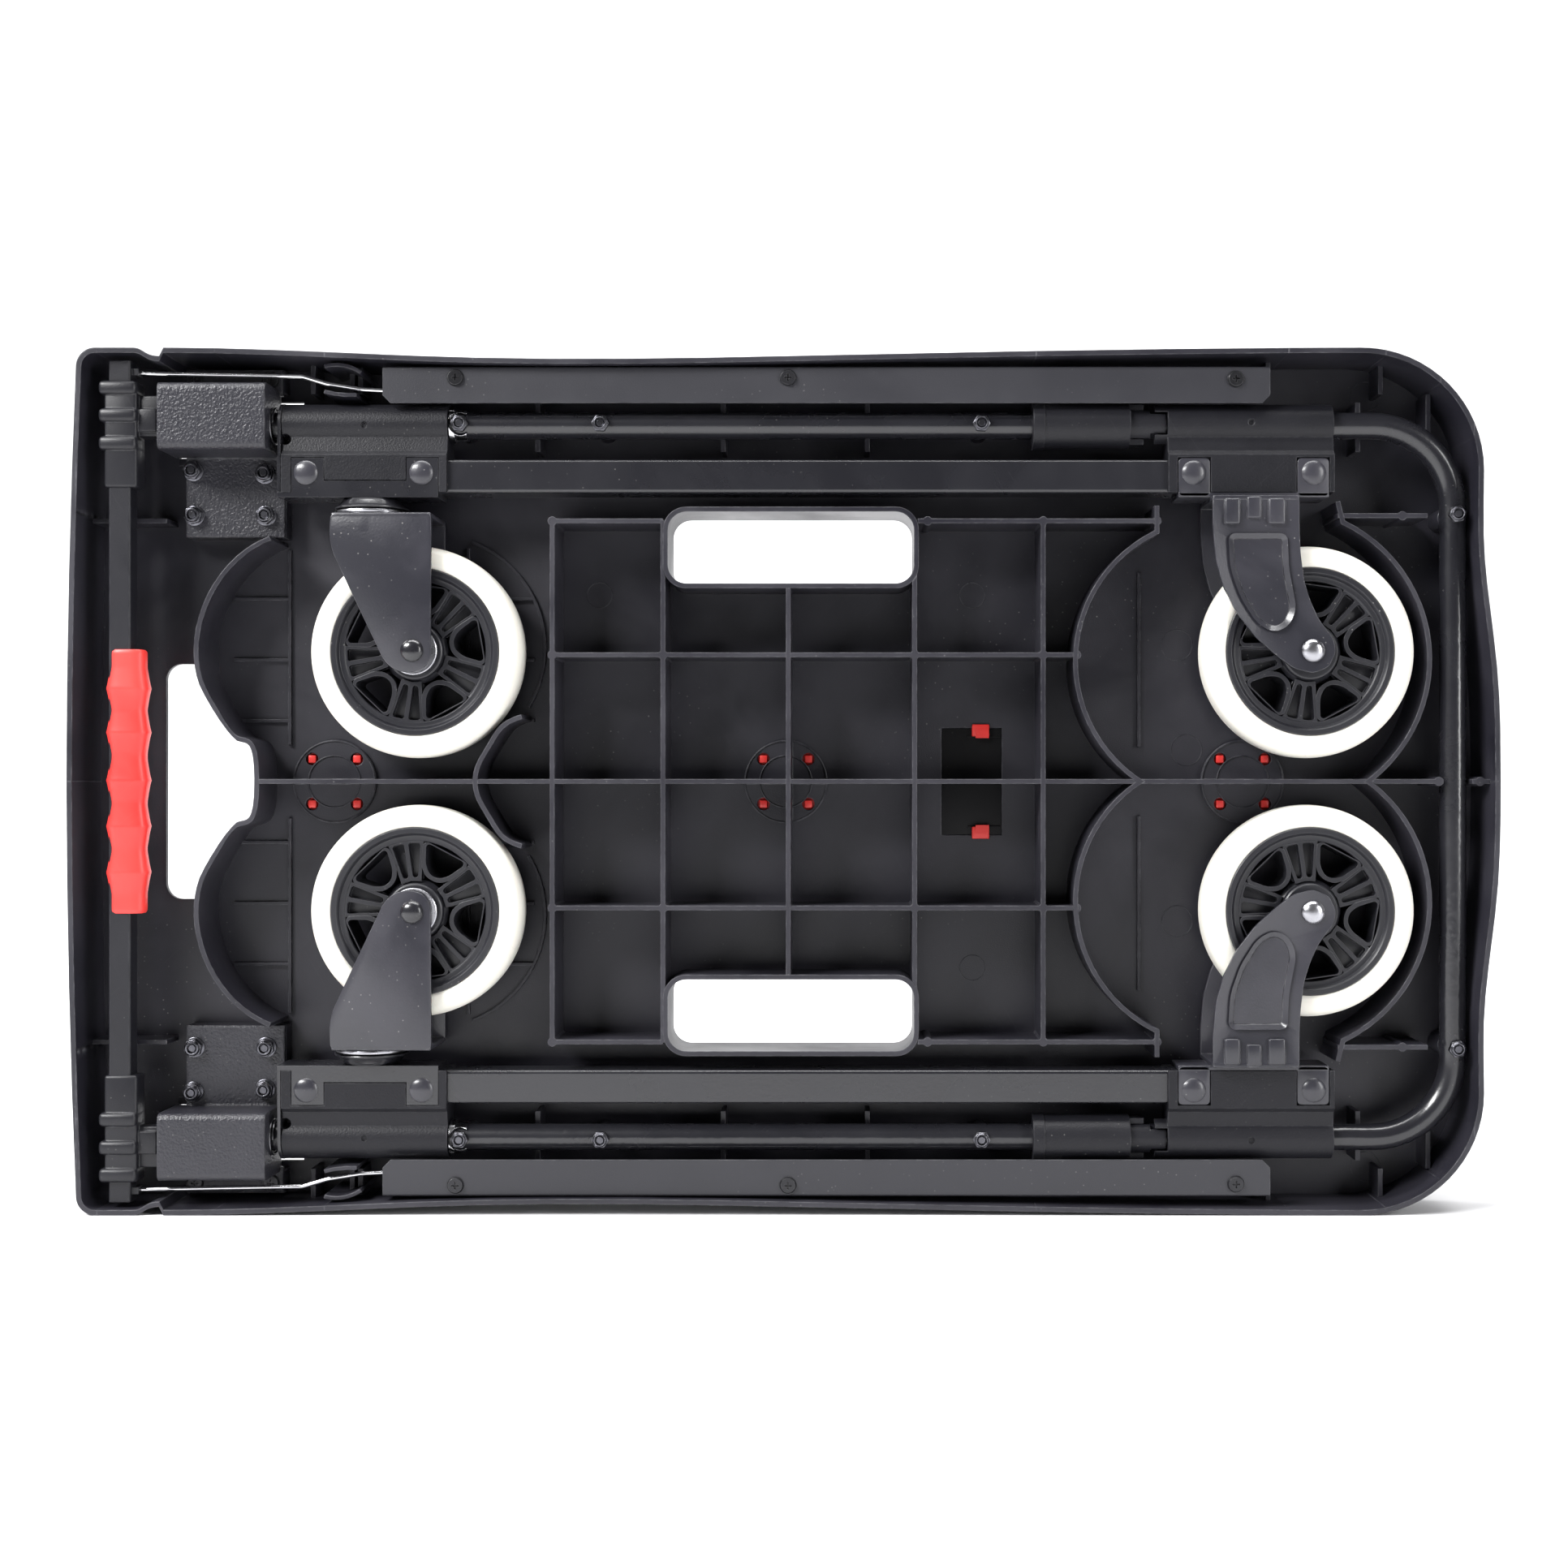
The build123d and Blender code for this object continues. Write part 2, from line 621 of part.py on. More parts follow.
# lock sleeves: slide on the tube, their tongues reach between the rear sleeves' prongs
lock_left, lock_right, lock_r = 119.2, 165.7, 11.0
with BuildPart() as lock_sleeve:
    rod_x(lock_left + 5.5, lock_right, tube_v, tube_d, lock_r)
    rod_x(lock_left, lock_left + 5.5, tube_v, tube_d, lock_r + 0.5)
    rod_x(lock_right, 182.7, tube_v, tube_d, 8.3)
    # only the near side of the thin end is left, as a stepped tongue
    block(lock_right, 184, tube_v - 12, tube_v + 12, 10, tube_d + 3.5, Mode.SUBTRACT)
    for side in sides:
        block(lock_right, 184, *sorted((tube_v + side * 6.6, tube_v + side * 12)), 10, 40,
              Mode.SUBTRACT)
        block(175.5, 184, *sorted((tube_v + side * 4.6, tube_v + side * 12)), 10, 40,
              Mode.SUBTRACT)
        block(lock_right - 1, 172.6, *sorted((tube_v + side * 6.9, tube_v + side * 9.6)), 20, 28)
    # ear that the pull rod hooks into
    block(126, 136, tube_v + 9.5, 184.9, 26.5, 28.8)
    rod_x(lock_left - 1, 184, tube_v, tube_d, tube_bore + 0.05, Mode.SUBTRACT)
write_both(lock_sleeve.part, "lock_sleeves")

# ---------------------------------------------------------------- wheel beams
# Each beam turns on the frame tube: a rectangular tube between two hinge sleeves, with the
# swivel caster under the front sleeve and the rigid fork under the rear one.
saddle_gap = 0.3
front_ears = [(-235.0, -219.6), (-180.1, -165.0)]
rear_ears = [(188.2, 203.4), (244.9, 260.2)]
rivet_v = 147.4
rivet_x = [-228.1, -173.0, 195.6, 252.8]
rivet_r = 3.0
ear_top = 154.4


def sleeve_body(x_low, x_high):
    # barrel round the tube and a flat block round the beam's end
    rod_x(x_low, x_high, tube_v, tube_d, barrel_r)
    with BuildSketch(station(x_low)) as profile:
        with BuildLine():
            Polyline((beam_low, 35.2), (156, 35.2), (158, 33.2), (166, 31.6), (166, 16.4),
                     (158, 14.8), (156, 12.8), (beam_low, 12.8), close=True)
        make_face()
    extrude(profile.sketch, amount=x_high - x_low)
    rod_x(x_low - 1, x_high + 1, tube_v, tube_d, tube_bore, Mode.SUBTRACT)


def ear_pockets(ears):
    # the sleeve's walls are cut away where the steel ears lie on the beam
    for x_low, x_high in ears:
        for d_low, d_high in ((beam_near, 40), (8, beam_far)):
            block(x_low - saddle_gap, x_high + saddle_gap, beam_low - 1, ear_top + saddle_gap,
                  d_low, d_high, Mode.SUBTRACT)


with BuildPart() as front_sleeve:
    sleeve_body(front_end, front_inner)
    block(front_end + 3, front_inner + 1, beam_low - 1, beam_high, beam_far, beam_near, Mode.SUBTRACT)
    ear_pockets(front_ears)
    for d_low, d_high in ((beam_near, 40), (8, beam_far)):
        block(front_ears[0][0], front_ears[1][1], beam_low - 1, 143.9, d_low, d_high, Mode.SUBTRACT)
    # round notch for the spring's leg and a small gate mark
    peg(front_end + 1.5, 163.6, 2.6, 24, 40, Mode.SUBTRACT)
    peg(-200.5, 170.4, 1.5, 33.2, 40, Mode.SUBTRACT)
write_pair(front_sleeve.part, "front_sleeve")

with BuildPart() as rear_sleeve:
    sleeve_body(rear_inner, rear_end)
    block(rear_inner - 1, rear_end - 3, beam_low - 1, beam_high, beam_far, beam_near, Mode.SUBTRACT)
    ear_pockets(rear_ears)
    peg(223.3, 171.6, 1.5, 33.2, 40, Mode.SUBTRACT)
    # prongs either side of the lock sleeve's tongue, on a larger radius than the tongue
    with BuildSketch(station(177.5)) as prong_ring:
        with Locations((tube_v, tube_d)):
            Circle(barrel_r)
            Circle(8.75, mode=Mode.SUBTRACT)
        with Locations((tube_v, tube_d - 6)):
            Rectangle(30, 20, mode=Mode.SUBTRACT)
        with Locations((tube_v, tube_d)):
            Rectangle(11, 30, mode=Mode.SUBTRACT)
    extrude(prong_ring.sketch, amount=rear_inner - 177.5)
write_pair(rear_sleeve.part, "rear_sleeve")

beam_start, beam_end = front_end + 3.4, rear_end - 3.4
with BuildPart() as beam:
    (beam_v, beam_wide), (beam_mid_d, beam_deep) = span(beam_low, beam_high), span(beam_far, beam_near)
    with BuildSketch(station(beam_start)):
        with Locations((beam_v, beam_mid_d)):
            RectangleRounded(beam_wide, beam_deep, 1.8)
            RectangleRounded(beam_wide - 3, beam_deep - 3, 0.8, mode=Mode.SUBTRACT)
    extrude(amount=beam_end - beam_start)
    for x in rivet_x:
        peg(x, rivet_v, rivet_r + 0.02, beam_far - 2, beam_near + 2, Mode.SUBTRACT)
write_pair(beam.part, "beam_tube")

# swivel saddle: a steel channel riveted over the beam, with an end cheek on the frame tube
saddle_web = 2.4
cheek_left = -241.9
with BuildPart() as saddle:
    block(front_ears[0][0], front_ears[1][1], beam_low - saddle_web, beam_low, 13, 35)
    for d_low, d_high in ((beam_near, beam_near + steel), (beam_far - steel, beam_far)):
        block(front_ears[0][0], front_ears[1][1], beam_low, 143.5, d_low, d_high)
        for (x_low, x_high), x in zip(front_ears, rivet_x[:2]):
            block(x_low, x_high, 143, ear_top, d_low, d_high)
            peg(x, rivet_v, rivet_r + 0.02, d_low - 1, d_high + 1, Mode.SUBTRACT)
    block(cheek_left, front_ears[0][0], beam_low - saddle_web, beam_low, 13, 35)
    block(cheek_left, front_end - 0.4, beam_low, tube_v, 13.6, 34.4)
    rod_x(cheek_left, front_end - 0.4, tube_v, tube_d, 10.4)
    rod_x(-243, front_end + 0.5, tube_v, tube_d, tube_bore + 0.02, Mode.SUBTRACT)
    rod_z(kingpin_x, tube_d, beam_low - 5, beam_low + 1, 5.0, Mode.SUBTRACT)
write_pair(saddle.part, "swivel_saddle")

# kingpin with its domed upper race
race_top = beam_low - saddle_web
with BuildPart() as kingpin:
    rod_z(kingpin_x, tube_d, 121.8, beam_low - 0.1, 5.0)
    rod_z(kingpin_x, tube_d, 119.6, 122.2, 8.6)
    with BuildSketch(shelf(race_top)) as race:
        with Locations((kingpin_x, tube_d)):
            Circle(13.6)
    extrude(race.sketch, amount=4.6, taper=-40)
    rod_z(kingpin_x, tube_d, race_top - 5.4, race_top - 4.6, 17.4)
write_pair(kingpin.part, "kingpin")

# rigid fork: ears over the beam, a shoulder under it and two curved arms
arm_near = (tube_d + arm_in, tube_d + arm_out)
arm_far = (tube_d - arm_out, tube_d - arm_in)
shoulder_low, shoulder_high = 131.5, beam_low - saddle_web
with BuildPart() as rear_fork:
    block(rear_ears[0][0], rear_ears[1][1], beam_low - saddle_web, beam_low, 13, 35)
    for d_low, d_high in ((beam_near, beam_near + steel), (beam_far - steel, beam_far)):
        for (x_low, x_high), x in zip(rear_ears, rivet_x[2:]):
            block(x_low, x_high, beam_low, ear_top, d_low, d_high)
            peg(x, rivet_v, rivet_r + 0.02, d_low - 1, d_high + 1, Mode.SUBTRACT)
    block(203.2, 244.2, shoulder_high - steel, shoulder_high, arm_far[0], arm_near[1])
    for d_low, d_high in (arm_near, arm_far):
        with BuildSketch(level(d_low)) as arm:
            with BuildLine():
                Line((203.2, shoulder_high), (203.2, 116))
                Spline((203.2, 116), (208.6, 90), (224.5, 65.8), (242.0, 53.4),
                       tangents=((0, -1), (0.85, -0.5)))
                ThreePointArc((242.0, 53.4), (258.6, 54.0), (260.4, 69.4))
                Spline((260.4, 69.4), (250.0, 86), (244.2, 112), tangents=((-0.6, 0.8), (0, 1)))
                Line((244.2, 112), (244.2, shoulder_high))
                Line((244.2, shoulder_high), (203.2, shoulder_high))
            make_face()
            with Locations((rear_wheel_x, wheel_v)):
                Circle(4.02, mode=Mode.SUBTRACT)
        extrude(arm.sketch, amount=d_high - d_low)
write_pair(rear_fork.part, "rigid_fork")

# rivets through the ears and the beam, with domed heads
with BuildPart() as rivets:
    for x in rivet_x:
        peg(x, rivet_v, rivet_r, beam_far - steel - 1.4, beam_near + steel + 0.2)
        with BuildSketch(level(beam_near + steel)) as head:
            with Locations((x, rivet_v)):
                Circle(5.8)
        extrude(head.sketch, amount=1.6, taper=38)
        peg(x, rivet_v, 5.0, beam_far - steel - 1.4, beam_far - steel)
write_pair(rivets.part, "beam_rivets")


# ---------------------------------------------------------------- casters
def axle_set(x, v):
    # axle with domed heads and a washer either side of the hub
    peg(x, v, 4.0, tube_d - arm_out - 1.6, tube_d + arm_out)
    with BuildSketch(level(tube_d + arm_out)) as head:
        with Locations((x, v)):
            Circle(5.2)
    extrude(head.sketch, amount=axle_out - tube_d - arm_out, taper=24)
    peg(x, v, 5.2, tube_d - arm_out - 1.6, tube_d - arm_out)


def washers(x, v):
    for d_low, d_high in ((tube_d + 13.4, tube_d + arm_in), (tube_d - arm_in, tube_d - 13.4)):
        peg(x, v, 8.8, d_low, d_high)
        peg(x, v, 4.0, d_low - 1, d_high + 1, Mode.SUBTRACT)


for name, x in (("front", front_wheel_x), ("rear", rear_wheel_x)):
    with BuildPart() as axle:
        axle_set(x, wheel_v)
    with BuildPart() as axle_washers:
        washers(x, wheel_v)
    write_pair(Compound(children=[*axle.part.solids(), *axle_washers.part.solids()]), f"{name}_axle")

# swivel fork: top plate, race ring and two tapering plates that trail the wheel
fork_top = race_top - 5.4 - saddle_gap - 2.3
with BuildPart() as swivel_fork:
    block(-214, -167.4, fork_top - 2.3, fork_top, arm_far[0], arm_near[1])
    for d_low, d_high in (arm_near, arm_far):
        with BuildSketch(level(d_low)) as plate_shape:
            with BuildLine():
                Line((-214, fork_top), (-214.6, 116.0))
                Line((-214.6, 116.0), (-206.0, 95.4))
                Line((-206.0, 95.4), (-188.4, 59.4))
                ThreePointArc((-188.4, 59.4), (-177.6, 51.3), (-167.6, 56.0))
                Line((-167.6, 56.0), (-167.4, fork_top))
                Line((-167.4, fork_top), (-214, fork_top))
            make_face()
            with Locations((front_wheel_x, wheel_v)):
                Circle(4.02, mode=Mode.SUBTRACT)
        extrude(plate_shape.sketch, amount=d_high - d_low)
    rod_z(kingpin_x, tube_d, fork_top - 4, fork_top + 1, 5.06, Mode.SUBTRACT)
write_pair(swivel_fork.part, "swivel_fork")

with BuildPart() as race_ring:
    rod_z(kingpin_x, tube_d, fork_top, fork_top + 2.3, 17.7)
    rod_z(kingpin_x, tube_d, fork_top - 1, fork_top + 3, 5.2, Mode.SUBTRACT)
write_pair(race_ring.part, "swivel_race")

for name, x in (("front", front_wheel_x), ("rear", rear_wheel_x)):
    with BuildPart() as tyre:
        peg(x, wheel_v, tyre_r, tube_d - wheel_half, tube_d + wheel_half)
        fillet(tyre.edges(), 5.0)
        peg(x, wheel_v, rim_r, 0, 60, Mode.SUBTRACT)
    write_pair(tyre.part, f"{name}_tyre")
    with BuildPart() as hub:
        with BuildSketch(level(tube_d - 11.5)) as rim:
            with Locations((x, wheel_v)):
                Circle(rim_r)
                Circle(rim_r - 4.5, mode=Mode.SUBTRACT)
        extrude(rim.sketch, amount=23)
        peg(x, wheel_v, 13.5, tube_d - 13.2, tube_d + 13.2)
        with BuildSketch(level(tube_d - 6)) as disc:
            with Locations((x, wheel_v)):
                Circle(rim_r - 4)
                with PolarLocations(24.6, 5, start_angle=54):
                    Rectangle(13.5, 16, mode=Mode.SUBTRACT)
        extrude(disc.sketch, amount=12)
        peg(x, wheel_v, 4.06, 0, 60, Mode.SUBTRACT)
    write_pair(hub.part, f"{name}_hub")

# ---------------------------------------------------------------- folding handle
leg_left, leg_right = -262.0, 52.0
leg_v = tube_v


def square_tube(x_low, x_high, deep, wide, thick):
    # rounded rectangular tube along x, centred on the folded leg's line
    with BuildSketch(station(x_low)) as section:
        with Locations((leg_v, leg_d)):
            RectangleRounded(wide, deep, 3.0)
            RectangleRounded(wide - 2 * thick, deep - 2 * thick, 3.0 - thick, mode=Mode.SUBTRACT)
    extrude(section.sketch, amount=x_high - x_low)


with BuildPart() as handle_leg:
    square_tube(leg_left, leg_right, leg_deep, leg_wide, leg_wall)
write_both(handle_leg.part, "handle_legs")

# hinge foot: closes the leg's end and carries the pin's eye
leg_face = leg_d + leg_deep / 2
with BuildPart() as foot:
    block(-280, leg_left, leg_v - leg_wide / 2, leg_v + leg_wide / 2, leg_d - leg_deep / 2, leg_face)
    fillet(foot.edges().filter_by(Axis.X), 3.0)
    block(-272, hinge_x + 6.5, leg_v - 9, leg_v + 9, leg_face, hinge_d)
    block(-272, leg_left, leg_v - 9, leg_v + 9, leg_face - 4, leg_face)
    rod_z(hinge_x, hinge_d, leg_v - 9, leg_v + 9, 6.5)
    rod_z(hinge_x, hinge_d, leg_v - 12, leg_v + 12, 4.06, Mode.SUBTRACT)
write_both(foot.part, "handle_feet")

with BuildPart() as middle_tube:
    square_tube(-240, 62, 18.6, 16.6, 1.3)
write_both(middle_tube.part, "middle_tubes")

with BuildPart() as inner_tube:
    square_tube(-230, 80.5, 15.6, 13.6, 1.2)
write_both(inner_tube.part, "inner_tubes")

# plastic collars at the mouths of the legs and the middle tubes
with BuildPart() as leg_collars:
    for side in sides:
        with BuildSketch(station(38)) as ring:
            with Locations((side * leg_v, leg_d)):
                RectangleRounded(leg_wide + 3.4, leg_deep + 2.8, 3.5)
                RectangleRounded(leg_wide, leg_deep, 3.0, mode=Mode.SUBTRACT)
        extrude(ring.sketch, amount=leg_right - 38)
        with BuildSketch(station(leg_right)) as lip:
            with Locations((side * leg_v, leg_d)):
                RectangleRounded(leg_wide + 3.4, leg_deep + 2.8, 3.5)
                RectangleRounded(17.1, 19.1, 3.0, mode=Mode.SUBTRACT)
        extrude(lip.sketch, amount=4)
write(leg_collars.part, "leg_collars")

with BuildPart() as middle_collars:
    for side in sides:
        with BuildSketch(station(56.6)) as ring:
            with Locations((side * leg_v, leg_d)):
                RectangleRounded(20.0, 22.0, 3.5)
                RectangleRounded(16.6, 18.6, 3.0, mode=Mode.SUBTRACT)
        extrude(ring.sketch, amount=5.4)
        with BuildSketch(station(62)) as lip:
            with Locations((side * leg_v, leg_d)):
                RectangleRounded(20.0, 22.0, 3.5)
                RectangleRounded(14.1, 16.1, 3.0, mode=Mode.SUBTRACT)
        extrude(lip.sketch, amount=5)
write(middle_collars.part, "middle_collars")

with BuildPart() as crossbar:
    block(crossbar_x - 10, crossbar_x + 10, -leg_v - 11, leg_v + 11, leg_d - 10, leg_d + 10)
    fillet(crossbar.edges().filter_by(Axis.Z), 6.0)
    for side in sides:
        with BuildSketch(station(68)) as socket:
            with Locations((side * leg_v, leg_d)):
                RectangleRounded(19.0, 20.0, 4.0)
        extrude(socket.sketch, amount=14)
        with BuildSketch(station(67)) as bore:
            with Locations((side * leg_v, leg_d)):
                RectangleRounded(13.6, 15.6, 3.0)
        extrude(bore.sketch, amount=13.5, mode=Mode.SUBTRACT)
    block(95, 102, -15, 15, leg_d - 5, leg_d + 5, Mode.SUBTRACT)
write(crossbar.part, "handle_crossbar")

with BuildPart() as handle_grip:
    with BuildSketch(level(leg_d - 12)):
        patch(crossbar_x - 11.2, crossbar_x + 11.2, -70, 70)
    extrude(amount=23.6)
    fillet(handle_grip.edges().filter_by(Axis.Z), 7.0)
    with BuildSketch(shelf(71)) as core:
        with Locations((crossbar_x, leg_d)):
            RectangleRounded(20, 20, 6.0)
    extrude(core.sketch, amount=142, mode=Mode.SUBTRACT)
    block(95, 103, -15, 15, leg_d - 5, leg_d + 5, Mode.SUBTRACT)
write(handle_grip.part, "handle_grip")

with BuildPart() as button:
    block(98.5, 105.4, -14.4, 14.4, leg_d - 4.4, leg_d + 4.4)
    fillet(button.edges().filter_by(Axis.X), 2.0)
    fillet(button.faces().sort_by(Axis.X)[-1].edges(), 1.0)
write(button.part, "release_button")
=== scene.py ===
import json
import math

import bmesh
import bpy
from mathutils import Matrix, Vector


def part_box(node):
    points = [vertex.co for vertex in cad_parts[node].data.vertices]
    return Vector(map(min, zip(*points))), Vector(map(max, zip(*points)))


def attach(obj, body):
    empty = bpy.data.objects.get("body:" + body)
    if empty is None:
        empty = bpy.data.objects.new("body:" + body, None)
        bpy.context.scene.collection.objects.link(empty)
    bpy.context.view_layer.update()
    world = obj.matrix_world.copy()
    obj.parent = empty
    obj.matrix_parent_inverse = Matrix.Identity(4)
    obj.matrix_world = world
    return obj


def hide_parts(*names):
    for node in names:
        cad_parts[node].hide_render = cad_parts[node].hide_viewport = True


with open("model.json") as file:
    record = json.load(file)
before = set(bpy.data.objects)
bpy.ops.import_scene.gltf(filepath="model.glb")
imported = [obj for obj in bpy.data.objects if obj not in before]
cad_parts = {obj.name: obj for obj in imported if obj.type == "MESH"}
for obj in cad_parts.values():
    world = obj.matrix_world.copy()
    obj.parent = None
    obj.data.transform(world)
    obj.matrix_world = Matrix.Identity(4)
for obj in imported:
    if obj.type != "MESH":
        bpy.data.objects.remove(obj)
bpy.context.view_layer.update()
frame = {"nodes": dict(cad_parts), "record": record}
nodes = frame["nodes"]
scene = bpy.context.scene
print("frame loaded:", len(nodes), "nodes")

# Places on the cart are x (length), v (across, from the middle) and d (depth out of the
# underside, from the deck plate's inner face), in millimetres. Pieces are built with
# X = x, Y = v, Z = d and stood up into the frame by settle().
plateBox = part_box("deck_plate")
deckFace = plateBox[0][1]
midHeight = (plateBox[0][2] + plateBox[1][2]) / 2
millimetre = 0.001
standUp = (Matrix.Translation((0, deckFace, midHeight)) @ Matrix.Rotation(math.pi / 2, 4, "X")
           @ Matrix.Scale(millimetre, 4))
halves = {"upper": 1, "lower": -1}


# ---- shader groups shared by the finishes
def newGroup(name, inputs, outputs):
    group = bpy.data.node_groups.new(name, "ShaderNodeTree")
    for label, kind, value in inputs:
        socket = group.interface.new_socket(label, in_out="INPUT", socket_type=kind)
        socket.default_value = value
    for label, kind in outputs:
        group.interface.new_socket(label, in_out="OUTPUT", socket_type=kind)
    return group, group.nodes.new("NodeGroupInput"), group.nodes.new("NodeGroupOutput")


def addNode(tree, kind, values=None, **settings):
    node = tree.nodes.new(kind)
    for key, value in settings.items():
        setattr(node, key, value)
    for key, value in (values or {}).items():
        node.inputs[key].default_value = value
    return node


def maths(tree, operation, first, second=None, third=None, clamp=False):
    node = addNode(tree, "ShaderNodeMath", operation=operation, use_clamp=clamp)
    for index, value in enumerate((first, second, third)):
        if value is None:
            continue
        if isinstance(value, (int, float)):
            node.inputs[index].default_value = value
        else:
            tree.links.new(value, node.inputs[index])
    return node.outputs[0]


floatSocket, colourSocket, vectorSocket = "NodeSocketFloat", "NodeSocketColor", "NodeSocketVector"


def makeGrainGroup():
    # fine moulded or powder grain with soft clouding over it
    group, given, result = newGroup(
        "surfaceGrain",
        [("Grain Size", floatSocket, 900.0), ("Cloud Size", floatSocket, 14.0),
         ("Cloud Amount", floatSocket, 0.5)],
        [("Height", floatSocket), ("Cloud", floatSocket), ("Speckle", floatSocket)],
    )
    place = addNode(group, "ShaderNodeTexCoord")
    grain = addNode(group, "ShaderNodeTexNoise", {"Detail": 2.0, "Roughness": 0.55})
    cloud = addNode(group, "ShaderNodeTexNoise", {"Detail": 4.0, "Roughness": 0.6, "Distortion": 0.4})
    group.links.new(place.outputs["Object"], grain.inputs["Vector"])
    group.links.new(place.outputs["Object"], cloud.inputs["Vector"])
    group.links.new(given.outputs["Grain Size"], grain.inputs["Scale"])
    group.links.new(given.outputs["Cloud Size"], cloud.inputs["Scale"])
    spread = addNode(group, "ShaderNodeMapRange", {"From Min": 0.36, "From Max": 0.66})
    group.links.new(cloud.outputs[0], spread.inputs["Value"])
    amount = maths(group, "MULTIPLY", spread.outputs[0], given.outputs["Cloud Amount"])
    speckle = addNode(group, "ShaderNodeMapRange", {"From Min": 0.56, "From Max": 0.74})
    group.links.new(grain.outputs[0], speckle.inputs["Value"])
    group.links.new(grain.outputs[0], result.inputs["Height"])
    group.links.new(amount, result.inputs["Cloud"])
    group.links.new(speckle.outputs[0], result.inputs["Speckle"])
    return group


def makeEdgeGroup():
    # rounds the look of hard edges and finds them; the tint it gives them is partly rubbed wear and partly a
    # painted highlight
    group, given, result = newGroup(
        "softEdges",
        [("Radius", floatSocket, 0.0006), ("Patch Size", floatSocket, 160.0), ("Rub And Highlight", floatSocket, 0.5)],
        [("Normal", vectorSocket), ("Mask", floatSocket)],
    )
    rounded = addNode(group, "ShaderNodeBevel", samples=4)
    group.links.new(given.outputs["Radius"], rounded.inputs["Radius"])
    true = addNode(group, "ShaderNodeNewGeometry")
    same = addNode(group, "ShaderNodeVectorMath", operation="DOT_PRODUCT")
    group.links.new(rounded.outputs[0], same.inputs[0])
    group.links.new(true.outputs["Normal"], same.inputs[1])
    bend = addNode(group, "ShaderNodeMapRange", {"From Min": 0.995, "From Max": 0.86})
    group.links.new(same.outputs["Value"], bend.inputs["Value"])
    place = addNode(group, "ShaderNodeTexCoord")
    patchy = addNode(group, "ShaderNodeTexNoise", {"Detail": 5.0, "Roughness": 0.65})
    group.links.new(place.outputs["Object"], patchy.inputs["Vector"])
    group.links.new(given.outputs["Patch Size"], patchy.inputs["Scale"])
    broken = addNode(group, "ShaderNodeMapRange", {"From Min": 0.42, "From Max": 0.68})
    group.links.new(patchy.outputs[0], broken.inputs["Value"])
    mask = maths(group, "MULTIPLY", bend.outputs[0], broken.outputs[0])
    edgeRubAndHighlight = maths(group, "MULTIPLY", mask, given.outputs["Rub And Highlight"], clamp=True)
    group.links.new(rounded.outputs[0], result.inputs["Normal"])
    group.links.new(edgeRubAndHighlight, result.inputs["Mask"])
    return group


def makeScuffGroup():
    # thin scratches in two directions and small pale specks of dust
    group, given, result = newGroup(
        "scuffs",
        [("Density", floatSocket, 1.0), ("Stretch", floatSocket, 30.0), ("Dust", floatSocket, 0.3)],
        [("Scratch", floatSocket), ("Dust", floatSocket)],
    )
    place = addNode(group, "ShaderNodeTexCoord")
    lines = []
    for turn, size in ((0.5, 22.0), (-0.9, 31.0)):
        turned = addNode(group, "ShaderNodeMapping", {"Rotation": (0.3, turn, 0.2), "Scale": (1.0, 1.0, 1.0)})
        group.links.new(place.outputs["Object"], turned.inputs["Vector"])
        squeezed = addNode(group, "ShaderNodeCombineXYZ", {"Y": 1.0, "Z": 1.0})
        group.links.new(given.outputs["Stretch"], squeezed.inputs["X"])
        longer = addNode(group, "ShaderNodeVectorMath", operation="MULTIPLY")
        group.links.new(turned.outputs[0], longer.inputs[0])
        group.links.new(squeezed.outputs[0], longer.inputs[1])
        noise = addNode(group, "ShaderNodeTexNoise", {"Scale": size, "Detail": 1.0, "Roughness": 0.4})
        group.links.new(longer.outputs[0], noise.inputs["Vector"])
        thin = addNode(group, "ShaderNodeMapRange", {"From Min": 0.70, "From Max": 0.78})
        group.links.new(noise.outputs[0], thin.inputs["Value"])
        lines.append(thin.outputs[0])
    both = maths(group, "MAXIMUM", lines[0], lines[1])
    scratch = maths(group, "MULTIPLY", both, given.outputs["Density"], clamp=True)
    specks = addNode(group, "ShaderNodeTexVoronoi", {"Scale": 260.0, "Randomness": 1.0}, feature="F1")
    group.links.new(place.outputs["Object"], specks.inputs["Vector"])
    small = addNode(group, "ShaderNodeMapRange", {"From Min": 0.12, "From Max": 0.05})
    group.links.new(specks.outputs["Distance"], small.inputs["Value"])
    where = addNode(group, "ShaderNodeTexNoise", {"Scale": 9.0, "Detail": 3.0})
    group.links.new(place.outputs["Object"], where.inputs["Vector"])
    patches = addNode(group, "ShaderNodeMapRange", {"From Min": 0.5, "From Max": 0.68})
    group.links.new(where.outputs[0], patches.inputs["Value"])
    dusty = maths(group, "MULTIPLY", small.outputs[0], patches.outputs[0])
    dust = maths(group, "MULTIPLY", dusty, given.outputs["Dust"], clamp=True)
    group.links.new(scratch, result.inputs["Scratch"])
    group.links.new(dust, result.inputs["Dust"])
    return group


grainGroup, edgeGroup, scuffGroup = makeGrainGroup(), makeEdgeGroup(), makeScuffGroup()


def useGroup(tree, group, values):
    node = tree.nodes.new("ShaderNodeGroup")
    node.node_tree = group
    for key, value in values.items():
        node.inputs[key].default_value = value
    return node


def blend(tree, mask, first, second):
    # a colour mixed by a mask; each end is a colour or a socket
    node = addNode(tree, "ShaderNodeMix", data_type="RGBA", blend_type="MIX")
    tree.links.new(mask, node.inputs["Factor"])
    for socket, value in ((node.inputs[6], first), (node.inputs[7], second)):
        if isinstance(value, tuple):
            socket.default_value = (*value, 1.0)
        else:
            tree.links.new(value, socket)
    return node.outputs[2]


